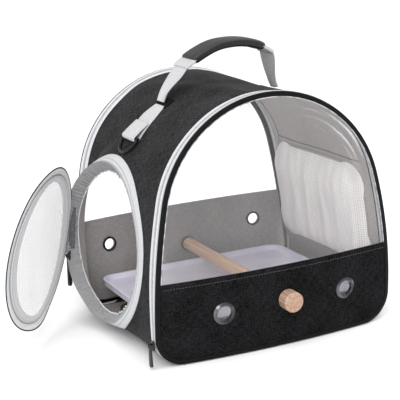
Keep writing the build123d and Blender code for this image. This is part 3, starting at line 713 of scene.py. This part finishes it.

# %% [markdown]
# ## Putting pieces on the frame
# A piece that stands for CAD nodes hides them and rides on their body. What joins wall and flap
# rides on no body: its place is baked into its points.


# %% The dressing helpers
def dress(piece, material, *nodes, body=None, slot=None, thick=None):
    """Gives a piece its material and a sheet its thickness in mm, inwards; hides the nodes it
    stands for, and lets it ride on a body."""
    piece.data.materials.append(material)
    if thick:
        wall = piece.modifiers.new("thickness", "SOLIDIFY")
        wall.thickness, wall.offset = thick / 1000, -1
    if nodes:
        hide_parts(*nodes)
    if body == "blend":
        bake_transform(piece)
    else:
        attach(piece, body or frame["nodes"][nodes[0]]["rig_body"])
    return piece


def teeth(length, pitch=1.5):
    """A coil's section swells by a seventh at every tooth."""
    return 1 + 0.14 * np.cos(2 * np.pi * length / pitch)


def ring(name, place, outline, section, material, *nodes, coiled=False, **where):
    """A closed strip or coil round a whole outline."""
    piece = carry(name, place, np.arange(float(len(outline[0]))), section, closed=True,
                  swell=teeth(outline[2]) if coiled else None, along=outline[2])
    return dress(piece, material, *nodes, **where)


# %% [markdown]
# ## The tunnel
# One strip of linen goes round the whole section, with a lining inside. Door and window are cut
# from it where tape and binding hide the cut edge.

# %% Shell and lining
def uncut(r, c, centre):
    """Keeps the faces outside the door on the left wall and outside the window on the right."""
    x, y, z = centre.T
    outside_door = np.hypot((y - DOOR_Y) / 91.5, (z - DOOR_Z) / 95.5) > 1
    dy, dz = np.abs(y - WINDOW[0]) - 66, np.abs(z - WINDOW[1]) - 29
    outside_window = np.hypot(np.maximum(dy, 0), np.maximum(dz, 0)) > 30
    return np.where(x < -90, outside_door, np.where(x > 90, outside_window, True))


FABRIC = (-120.0, 115.0)
shell_run = np.linspace(-HALF_RUN, HALF_RUN, 432, endpoint=False)
shell_y = np.linspace(*FABRIC, 95)
for name, node_name, inset, thick, material, surface in (
        ("tunnel_shell", "tunnel_fabric", 0.8, 1.5, linen, on_tunnel),
        ("tunnel_inside", "tunnel_lining", 2.5, 0.9, lining, on_lining)):
    points = surface(shell_run[:, None], shell_y[None, :], inset)
    piece = make(name, points, np.append(shell_run, HALF_RUN), shell_y, (True, False), uncut)
    dress(piece, material, node_name, thick=thick)

# %% The floor's outer cloth
side = np.linspace(-122.0, 122.0, 90)
floor_y = np.linspace(-119.7, 114.7, 80)
dips = np.sin(side[:, None] * 0.11) * np.sin(floor_y[None, :] * 0.09)
points = grid(side[:, None], floor_y[None, :], 0.8 - 0.25 * (1 + dips))
piece = make("bottom_cloth", points, side, floor_y, inside=(0, 0, -50))
dress(piece, shaded_band_linen, "bottom_panel", thick=0.3)
print("floor cloth", side[-1] - side[0], "mm wide")

# %% [markdown]
# ## The zips
# Each end zip is two woven tapes with a nylon coil between them. The tunnel keeps one tape and
# half the coil, the panel the others, so it can swing away. A coil is a round section whose size
# rises and falls every 1.5 mm, a coil's pitch.


# %% Arch zips and bindings
def stitches(name, place, low, high, a, b, material, body, slot, thick=0.34):
    """Stitches along a path, 2.6 mm in every 3.8, each a bead: a point, two rings and a point."""
    middle = np.arange(low + 1.9, high, 3.8)
    path = (middle[:, None] + np.array([-0.5, -0.36, 0.36, 0.5]) * 2.6).ravel()
    piece = carry(name, place, path, round_section(a, b, thick, thick * 0.8, count=5),
                  swell=np.tile([0.0, 1.0, 1.0, 0.0], len(middle)), rows=4)
    return dress(piece, material, body=body, slot=slot)


COIL_PATH = np.linspace(-ZIP_END, ZIP_END, 1537)
EDGE_PATH = np.linspace(-HALF_RUN, HALF_RUN, 480, endpoint=False)
END_SIZES = {
    "front": dict(end=FRONT, panel=-127.5, coil=(-126.6, -124.4), tape=(-123.5, -117.0),
                  fabric=-120.0, band=104.0, hole=11.2, holes=[(-75.0, 57.0), (91.0, 57.0)]),
    "rear": dict(end=REAR, panel=125.0, coil=(124.1, 121.9), tape=(121.0, 112.0),
                 fabric=115.0, band=117.0, hole=9.2, holes=[(-110.0, 80.0), (110.0, 80.0)]),
}


def panel_tape_place(end, start_y, run, share, inset):
    """A point on a panel's tape, by its share of the way from the coil to the binding."""
    x, z, _, _ = arch(run, inset)
    return grid(x, start_y + (skin_y(end, x, z, 3.2) - start_y) * share, z)


for name, size in END_SIZES.items():
    end, (first, last) = size["end"], size["tape"]
    piece = carry(f"{name}_zip_tape", on_tunnel, ARCH_PATH,
                  strip_section(first, last, 0.0, 0.8, 13, (-0.55, 0.55)))
    dress(piece, light_tape, f"{name}_tunnel_tape")
    piece = carry(f"{name}_panel_zip_tape", partial(panel_tape_place, end, size["panel"]),
                  ARCH_PATH, strip_section(0, 1, 0.0, 0.8, 13, (-0.4, 0.5)))
    dress(piece, light_tape, f"{name}_panel_tape")
    for part, middle in zip(("panel", "tunnel"), size["coil"]):
        piece = carry(f"{name}_{part}_zip_coil", on_tunnel, COIL_PATH,
                      round_section(middle, 0.15, 0.86, 0.6, count=8), swell=teeth(COIL_PATH))
        dress(piece, nylon, f"{name}_{part}_coil")
    low, high = sorted((size["fabric"], size["fabric"] - end * 13))
    piece = carry(f"{name}_seam_cover", on_lining, ARCH_PATH,
                  strip_section(low, high, 3.4, 4.2, 9, (-0.7, 0.7)))
    dress(piece, grey_binding, f"{name}_seam_binding")
    piece = carry(f"{name}_panel_binding", partial(on_edge, end), EDGE_PATH,
                  round_section(2.95, 1.75, 3.0, 1.75, 0.62, 20), closed=True)
    dress(piece, black_tape, f"{name}_edge_binding")
    for line, share in enumerate((0.28, 0.72)):
        stitches(f"{name}_tape_stitches_{line}", on_tunnel, -ZIP_END, ZIP_END,
                 first + (last - first) * share, -0.05, thread, "carrier",
                 SLOT[f"{name}_tunnel_tape"])
print("zip length", round(2 * float(ZIP_END)), "mm")

# %% [markdown]
# A panel's lower part is a linen band with a turned hem, its upper part clear film. Both are
# grids whose rows run from one side of the arch to the other at one height.


# %% Bands and clear windows
def panel_grid(end, heights, columns, inset, depth, bow):
    """Points of a panel's layer: width share times the half-width at each height, on the skin."""
    z = heights[:, None]
    x = np.linspace(-1, 1, columns)[None, :] * half_width(z, inset)
    return on_panel(end, x, z, depth - bow(x, z))


def band_bow(low, high, hem, x, z):
    """Waves of half a millimetre between the edges, and a step of cloth where the hem is turned."""
    held = smooth((z - low) / 25) * smooth((high - z) / 25) * smooth((154 - np.abs(x)) / 30)
    waves = 0.45 * np.sin(0.043 * x + 0.07 * z) + 0.3 * np.sin(0.09 * x - 0.031 * z + 2)
    return held * waves + 0.35 * smooth((z - (high - hem)) / 0.8)


def film_bow(x, z):
    """Film pulled between its seams: a slow swell and small puckers near the edge."""
    edge = np.abs(x) / np.maximum(half_width(z, 6), 1)
    return 0.35 * np.sin(0.021 * x + 0.017 * z) + 0.3 * np.sin(0.16 * z + 0.05 * x) * smooth(
        (edge - 0.8) / 0.2)


def pierced(holes, radius, r, c, centre):
    """Keeps the faces clear of the eyelets' barrels and the perch's stud."""
    apart = [np.hypot(centre[:, 0] - x, centre[:, 2] - z) > radius for x, z in holes]
    return np.logical_and.reduce([*apart, np.hypot(centre[:, 0] - 8, centre[:, 2] - 60) > 7.5])


for name, size in END_SIZES.items():
    end, top = size["end"], size["band"]
    for part, depth, thick, material, hem in (("band", 1.0, 1.35, shaded_band_linen, 8.0),
                                              ("band_lining", 2.4, 0.7, band_lining, 6.0)):
        heights = np.concatenate([np.linspace(5.2, top - 9, 58), np.linspace(top - 8.4, top, 10)])
        points = panel_grid(end, heights, 150, 5.2, depth, partial(band_bow, 6.0, top, hem))
        piece = make(f"{name}_{part}_cloth", points, heights, np.linspace(-150, 150, 150),
                     keep=partial(pierced, size["holes"], size["hole"]))
        dress(piece, material, f"{name}_{part}", thick=thick)
    rim = wall_run(np.array(top + 1.0))
    # The film's folded edge, its pale grey a painted highlight.
    piece = carry(f"{name}_film_highlight_welt", partial(on_edge, end), np.linspace(-rim, rim, 320),
                  round_section(6.4, 0.8, 0.6, 0.5))
    dress(piece, highlight_welt, body=f"{name}_panel", slot="clear_pvc")
    heights = top - 1.5 + (305.6 - top + 1.5) * np.sin(np.linspace(0, np.pi / 2, 90))
    piece = make(f"{name}_film", panel_grid(end, heights, 120, 5.0, 1.6, film_bow), heights,
                 np.linspace(-150, 150, 120))
    dress(piece, film, f"{name}_clear_window", thick=0.5)
    reach = float(half_width(np.array(top), 8))
    stitches(f"{name}_hem_stitches", partial(on_panel, end), -reach, reach, top - 6.4, 0.55,
             dark_thread, f"{name}_panel", "black_linen", 0.4)

# %% [markdown]
# Along the floor a folded strip of linen joins panel and tunnel. It stays with the carrier up to
# the fold.


# %% Fold strips under the panels
def fold_place(size, run, share, inset):
    """From the tunnel's edge to the zip's line at the corners, and on to the fold below."""
    x, z, _, _ = arch(np.where(run > HALF_RUN, run - 2 * HALF_RUN, run), inset)
    end, start = size["end"], size["fabric"] + size["end"] * 0.3
    under = smooth((116 - np.abs(x)) / 12)
    far = (1 - under) * (size["coil"][0] + 0.3 * end) + under * (end * 134.0)
    return grid(x, start + (far - size["fabric"] - end * 0.3) * share, z)


reach = np.concatenate([np.linspace(ZIP_END, HALF_RUN, 90),
                        2 * HALF_RUN - np.linspace(HALF_RUN, ZIP_END, 90)[1:]])
for name, size in END_SIZES.items():
    piece = carry(f"{name}_fold", partial(fold_place, size), reach,
                  strip_section(0, 1, 0.05, 0.8, 9))
    dress(piece, linen, f"{name}_hinge_strip")

# %% [markdown]
# ## The door in the left wall
# Round the opening go a pale zip tape, half a coil and, inside, a gathered grey facing. The flap
# is the same outline again: coil, border, net and a pale trim over the zip. It is worked out shut
# and then swung open.

# %% Door frame
ring("door_frame_tape", on_collar(door), door,
     strip_section(1.6, 14.0, 0.0, 0.8, 15, (-0.3, 0.55)), wide_tape, "door_tape", body="blend")
ring("door_frame_coil", on_collar(fine), fine, round_section(0.9, 0.15, 0.85, 0.6, count=8),
     nylon, "door_coil", coiled=True, body="blend")

# %% [markdown]
# The facing starts under the coil, goes back through the opening and is turned over the lining.
# It is eased into the smaller inner edge, so it gathers into small pleats, with a ragged line of
# thread at its narrowest place.

# %% Gathered facing
THROAT = 0.62
on_wall = on_outline(dense, -1)
length = dense[2][:, None]
rise = (COLLAR * door_reach(*dense[0].T)[1] ** 0.9 * 1.02)[:, None]
v = np.linspace(0, 1, 22)[None, :]
down = np.clip(v / THROAT, 0, 1)
back = smooth((v - THROAT) / (1 - THROAT))
grow = (0.2 + 0.45 * rise) * (1 - down) - 4.2 * down + 13.0 * back
inset = -(rise + 0.2) * (1 - down ** 1.3) + 3.9 * down ** 1.3
pleat = np.sin(2 * np.pi * length / 5.3 + 1.5 * np.sin(length / 31)) + 0.7 * np.sin(
    2 * np.pi * length / 12.9 + 1)
pleat = pleat * np.sin(np.pi * np.clip(v / 0.9, 0, 1)) ** 0.7
points = on_wall(np.arange(1200.0)[:, None], grow + 0.4 * pleat, inset + 0.3 * pleat)
piece = make("door_facing", points, np.append(length, length[-1] + 0.48), v[0] * 24, (True, False),
             inside=(-160, 7, 121))
piece.data.flip_normals()
dress(piece, gathered, "door_binding", body="blend", thick=0.6)


def ragged_place(index, grow, inset):
    """The thread line that gathers the facing: it wanders a millimetre in and out."""
    at = dense[2][index.astype(int) % len(dense[2])]
    wander = np.sin(at / 2.1) * np.sin(at / 5.7 + 1) + 0.6 * np.sin(at / 1.3)
    return on_wall(index, grow + 1.1 * wander, inset + 0.6 * wander)


ring("door_facing_thread", ragged_place, dense, round_section(-4.8, 3.4, 1.0, 0.9, count=6),
     thread, body="carrier", slot="grey_lining")
print("facing gathered from 750 mm into", round(dense[3]), "mm")


# %% Door flap
def narrowed(grow, turn):
    """The border inside the zip is 16 mm wide at the flap's sides and 6 mm above and below."""
    return np.where(grow < -2, -2 + (grow + 2) * (0.38 + 0.62 * np.abs(turn) ** 1.3), grow)


def on_flap(outline, index, grow, inset):
    """A point on the flap: flat on the wall, then opened."""
    y, z, out_y, out_z = spot_on(outline, index)
    grow = narrowed(grow, out_y)
    return opened(flat_wall(y + out_y * grow, z + out_z * grow, inset))


ring("flap_zip_coil", partial(on_flap, fine), fine,
     round_section(-1.2, 0.15, 0.85, 0.6, count=8), nylon, "flap_coil", coiled=True)
ring("flap_border_cloth", partial(on_flap, door), door,
     strip_section(-18.4, -2.0, 0.0, 1.4, 15, (-0.8, 0.25)), flap_tape, "flap_border")
ring("flap_trim_tape", partial(on_flap, door), door,
     strip_section(-9.3, 7.0, -1.65, -0.85, 15, (-0.15, 0.75)), grey_cloth, "flap_trim")
ring("flap_rim", partial(on_flap, door), door, round_section(7.2, -1.2, 0.75, 0.8), black_tape,
     body="door_flap", slot="black_binding")


def fan(outline, grow, middle, share):
    """Places between a middle and an outline grown by some mm: y and z."""
    edge = outline[0] + outline[1] * grow[:, None]
    return np.moveaxis(middle + (edge[:, None] - middle) * share[..., None], -1, 0)


share = np.linspace(0, 1, 46)[None, :] ** 0.9
y, z = fan(door, narrowed(-17.8, door[1][:, 0]), [DOOR_Y, DOOR_Z], share)
ripple = 0.5 * np.sin(0.07 * y + 1) * np.sin(0.045 * z)
points = opened(flat_wall(y, z, 0.7 + ripple * (1 - share ** 4)))
piece = make("flap_net", points, np.arange(401) * 1.0, np.linspace(0, 75, 46), (True, False),
             inside=(-100, -60, 120))
world_uv(piece)
dress(piece, door_net, "flap_mesh", thick=0.5)

# %% [markdown]
# The flap hangs on a gusset of cloth, bent between the frame's rear edge and the flap; its dark grey
# is painted shade.

# %% Gusset
height = np.linspace(97.0, 166.0, 30)
reach = np.linspace(0, 1, 16)
wall_x, wall_z, _, _ = arch(-wall_run(height), 0.0)
from_wall = grid(wall_x - 17.0, 92.0, wall_z)
to_flap = opened(flat_wall(99.0, height, 0.9))
over = smooth(reach)[None, :, None]
points = from_wall[:, None, :] * (1 - over) + to_flap[:, None, :] * over
points[..., 1] -= 2.5 * np.sin(np.pi * reach)[None, :]
piece = make("door_gusset", points, height, reach * 16, inside=(-100, 60, 120))
dress(piece, shaded_gusset_cloth, "door_hinge_strip", body="blend", thick=0.8)
print("gusset", round(height[-1] - height[0]), "mm high")

# %% [markdown]
# ## The window in the right wall
# A net held by a tape outside and a facing inside. The net is slack, so it hangs in upright folds
# that are shallower near its upper edge.

# %% Side window
ring("window_tape", on_outline(window, 1), window,
     strip_section(-0.5, 12.0, 0.0, 0.8, 13, (-0.3, 0.55)), wide_tape, "side_window_tape")

share = np.linspace(0, 1, 60)[None, :]
corner = np.abs(window[1][:, 0] * window[1][:, 1]) * 2
across, up = fan(window, 8.0 + 9.0 * corner, WINDOW, share)
across = across - 9 * smooth((-across - 10) / 80)
fold = 0.9 * np.sin(0.16 * across + 0.03 * up + 1.2 * np.sin(0.02 * up)) + 0.7 * np.sin(
    0.071 * across - 0.02 * up + 2) + 0.3 * np.sin(0.33 * across)
fold *= 0.5 + 0.5 * smooth((190 - up) / 90)
points = on_lining(wall_run(up), across, 4.3 + (1 - share ** 6) * (1.6 + fold))
piece = make("window_net", points, np.arange(401) * 1.0, np.linspace(0, 90, 60), (True, False))
world_uv(piece)
dress(piece, window_net, "side_window_mesh", thick=0.5)
ring("window_net_hem", on_outline(window, 1, on_lining), window,
     round_section(9.5, 4.1, 1.6, 0.7, 0.8), grey_binding, body="carrier", slot="grey_lining")

# %% A seam along the lining above the window
piece = carry("lining_seam", lambda y, run, inset: on_lining(run, y, inset),
              np.linspace(-118, 113, 120),
              round_section(float(wall_run(np.array(204.0))), 3.6, 0.55, 0.5))
dress(piece, dark_thread, body="carrier", slot="black_binding")

# %% [markdown]
# ## Handle, cuffs and strap tabs
# One webbing leaves the roof narrow, widens and runs through a padded sleeve. Its line adds up
# short steps whose direction turns with the arc and then leans into the leg.


# %% Flat pieces carried along a line
def slump(points):
    """How the soft handle rests: its crown sinks 7 mm, its right end stands higher than its left,
    and it leans to the front and the right."""
    x, y, z = np.moveaxis(points, -1, 0)
    above = smooth((z - 296) / 48)
    drop = 7.0 * np.clip(1 - (x / 58) ** 2, 0, 1) + 3.6 * smooth((-8 - x) / 42)
    return grid(x + 6.0 * above, y - 9.0 * above, z - above * (drop - 1.8 * np.sin(x / 34)))


def flat_piece(name, line, width, thickness, power=0.22, count=24, crown=None, rest=None):
    """A rounded box carried along a line in the XZ plane: width across Y, thickness along the
    line's normal. crown adds to the thickness, and rest moves the finished points."""
    tangent = np.gradient(line, axis=0)
    tangent /= np.linalg.norm(tangent, axis=1)[:, None]
    normal = np.stack([-tangent[:, 1], tangent[:, 0]], -1)
    a, b = round_section(0, 0, 0.5, 0.5, power, count)
    y = a[None, :] * np.broadcast_to(width, len(line))[:, None]
    off = b[None, :] * np.broadcast_to(thickness, len(line))[:, None]
    if crown is not None:
        off = off + crown(a[None, :], b[None, :], np.linspace(0, 1, len(line))[:, None])
    points = grid(line[:, :1] + normal[:, :1] * off, y, line[:, 1:] + normal[:, 1:] * off)
    points = points if rest is None else rest(points)
    along = np.concatenate([[0], np.cumsum(np.hypot(*np.diff(line, axis=0).T))])
    step = np.hypot(np.diff(np.append(a, a[0])) * np.mean(width), np.diff(np.append(b, b[0])) * 2)
    return make(name, points, along, np.concatenate([[0], np.cumsum(step)]), (False, True),
                caps=True)


GRIP_RADIUS, GRIP_TOP, LEG_START, LEG_TURN = 82.52, 362.96, 60.2, 24.8
ARC_END = 48.2
FOOT = [79.0, 291.0]
SIDES = ((-1, "left"), (1, "right"))
step = 0.5
t = np.arange(0, 118, step)
angle = np.where(t < LEG_START, 90 - np.degrees(t / GRIP_RADIUS),
                 ARC_END + (LEG_TURN - ARC_END) * smooth((t - LEG_START) / 12))
lean = np.radians(angle)
half = np.stack([np.cumsum(np.sin(lean)) * step, GRIP_TOP - np.cumsum(np.cos(lean)) * step], -1)
half += np.clip((t - LEG_START) / (t[-1] - LEG_START), 0, 1)[:, None] * (FOOT - half[-1])
line = np.vstack([half[::-1] * [-1, 1], half[1:]])[::3]
signed = np.linspace(-118, 118, len(line))
foot = smooth((np.abs(signed) - 72) / 44)
piece = flat_piece("handle_strap", line, 37 - 18.5 * foot, 1.8 + 0.9 * foot, 0.25,
                   crown=lambda a, b, s: 0.9 * np.cos(4 * np.pi * a) * smooth(
                       (np.abs(s - 0.5) - 0.32) / 0.15), rest=slump)
dress(piece, webbing, "handle_webbing")

# %% [markdown]
# The sleeve is foam with a skin: its top is crowned, its edges are rounded and it narrows at both
# ends, where the cuffs hold it.

# %% Padded grip, cuffs and anchors
grip = line[np.abs(signed) < 51.5]
ends = np.linspace(-1, 1, len(grip))
taper = np.sqrt(np.clip(1 - np.abs(ends) ** 14, 0, 1)) * 0.25 + 0.75
piece = flat_piece("grip_pad", grip, 40 * (0.97 + 0.03 * np.cos(ends * 2)) * (0.5 + 0.5 * taper),
                   10.4 * taper, 0.4, 28,
                   lambda a, b, s: 0.7 * (b > 0) * np.cos(np.pi * a) * np.sin(np.pi * s) ** 0.5,
                   rest=slump)
dress(piece, foam, "handle_grip")


def roof_line(low, high, inset, count=40, side=1):
    """Places along the settled roof between two distances from its centre line, drawn for the
    right; side picks the half whose settling is used."""
    x = np.linspace(low, high, count)
    run = wall_run(ROOF_Z + np.sqrt(ROOF_RADIUS ** 2 - x ** 2))
    x, z, out_x, out_z = arch(run, inset)
    lift = np.minimum(settle(side * x, 0.0, z), 0.0) - 0.3
    return np.stack([x + out_x * lift, z + out_z * lift], -1)


for side, name in SIDES:
    part = line[(signed * side > 50.5) & (signed * side < 67)]
    piece = flat_piece(f"{name}_cuff", part, 39.6, 4.2, rest=slump)
    dress(piece, webbing, body="handle", slot=SLOT["handle_cuffs"])
for side, name in SIDES:
    part = roof_line(68.5, 82.6, -0.15, side=side) * [side, 1]
    piece = flat_piece(f"{name}_anchor", part, 34, 1.0, count=20)
    dress(piece, black_webbing, body="carrier", slot=SLOT["handle_anchors"])
for name in ("cuff", "anchor"):
    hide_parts(f"handle_{name}s")

# %% [markdown]
# A strap tab runs down the roof, half a turn about the bar of its ring and back up on itself.

# %% Strap tabs
BAR = np.array([122.4, 252.77])
SLOPE, RISE = np.array([0.587, -0.8095]), np.array([0.8095, 0.5871])
around = np.linspace(-np.pi / 2, np.pi / 2, 24)[1:]
loop_line = BAR + 3.35 * (np.cos(around)[:, None] * SLOPE + np.sin(around)[:, None] * RISE)
back = np.linspace(0, 1, 24)[1:, None]
end_point = roof_line(104.0, 104.0, -2.9, 1)[0]
back_line = loop_line[-1] + (end_point - loop_line[-1]) * back + RISE * 0.4 * np.sin(np.pi * back)
tab_line = np.vstack([roof_line(80.5, 119.0, -0.95, 60), loop_line, back_line])
spread = np.concatenate([27 + 10 * smooth(np.linspace(0, 2.2, 60)), np.full(46, 37.0)])
for side, name in SIDES:
    piece = flat_piece(f"{name}_tab", tab_line * [side, 1], spread, 1.7, count=20)
    dress(piece, webbing, f"{name}_strap_tab")

# %% [markdown]
# ## Floor, light and camera
# A pale floor, a very soft light from above and two square lights, from the front left and the
# right. The camera stands to the front left, a little above the roof, with a long lens.

# %% Floor and lights
side = np.linspace(-60000, 60000, 12)
sweep = make("floor_sweep", grid(side[:, None], side[None, :], -0.4), side, side,
             inside=(0, 0, -500))
sweep.data.materials.append(toned("matt white paper", (0.3, "#f4f4f4"), (0.7, "#fafafa"),
                                  (90, 90, 90), "Object", Roughness=0.9))

scene = bpy.context.scene
scene.view_settings.view_transform = "Standard"
scene.world = bpy.data.worlds.new("studio")
scene.world.use_nodes = True
sky = scene.world.node_tree.nodes["Background"].inputs
sky["Color"].default_value = (1, 1, 1, 1)
sky["Strength"].default_value = 0.62


def lamp(kind, name, place, strength, size, aim=(0, 0, 0.15)):
    """A soft light that faces a point: a square one by its side in metres, a sun by its angle."""
    light = bpy.data.lights.new(name, kind)
    light.energy = strength
    if kind == "SUN":
        light.angle = np.radians(size)
    else:
        light.size = size
    holder = bpy.data.objects.new(name, light)
    holder.location = place
    holder.rotation_mode = "QUATERNION"
    holder.rotation_quaternion = (Vector(aim) - Vector(place)).to_track_quat("-Z", "Y")
    scene.collection.objects.link(holder)


lamp("SUN", "overhead", (-0.6, -0.7, 2.0), 1.9, 60)
lamp("AREA", "key", (-1.3, -2.0, 1.1), 28, 1.4)
lamp("AREA", "right", (1.9, 0.1, 1.0), 20, 1.4)
print("lights", len(bpy.data.lights))

# %% Camera
AZIMUTH, ELEVATION, ROLL = np.radians([-24.354, 14.371, -3.213])
FOCAL, DISTANCE, SHIFT = 1254.41, 1.61304, (0.031794, -0.012988)
back = np.array([np.sin(AZIMUTH) * np.cos(ELEVATION), -np.cos(AZIMUTH) * np.cos(ELEVATION),
                 np.sin(ELEVATION)])
right = np.array([np.cos(AZIMUTH), np.sin(AZIMUTH), 0])
up = np.cross(back, right)
rolled = np.cos(ROLL) * right + np.sin(ROLL) * up
upright = -np.sin(ROLL) * right + np.cos(ROLL) * up
place = np.array([0, 0, 0.14]) + DISTANCE * back - SHIFT[0] * rolled - SHIFT[1] * upright
camera = bpy.data.objects.new("camera", bpy.data.cameras.new("camera"))
camera.data.sensor_width = 36
camera.data.lens = 36 * FOCAL / 400
scene.collection.objects.link(camera)
turned = np.stack([rolled, upright, back], 1)
camera.matrix_world = Matrix([[*row, p] for row, p in zip(turned, place)] + [[0, 0, 0, 1]])
scene.camera = camera
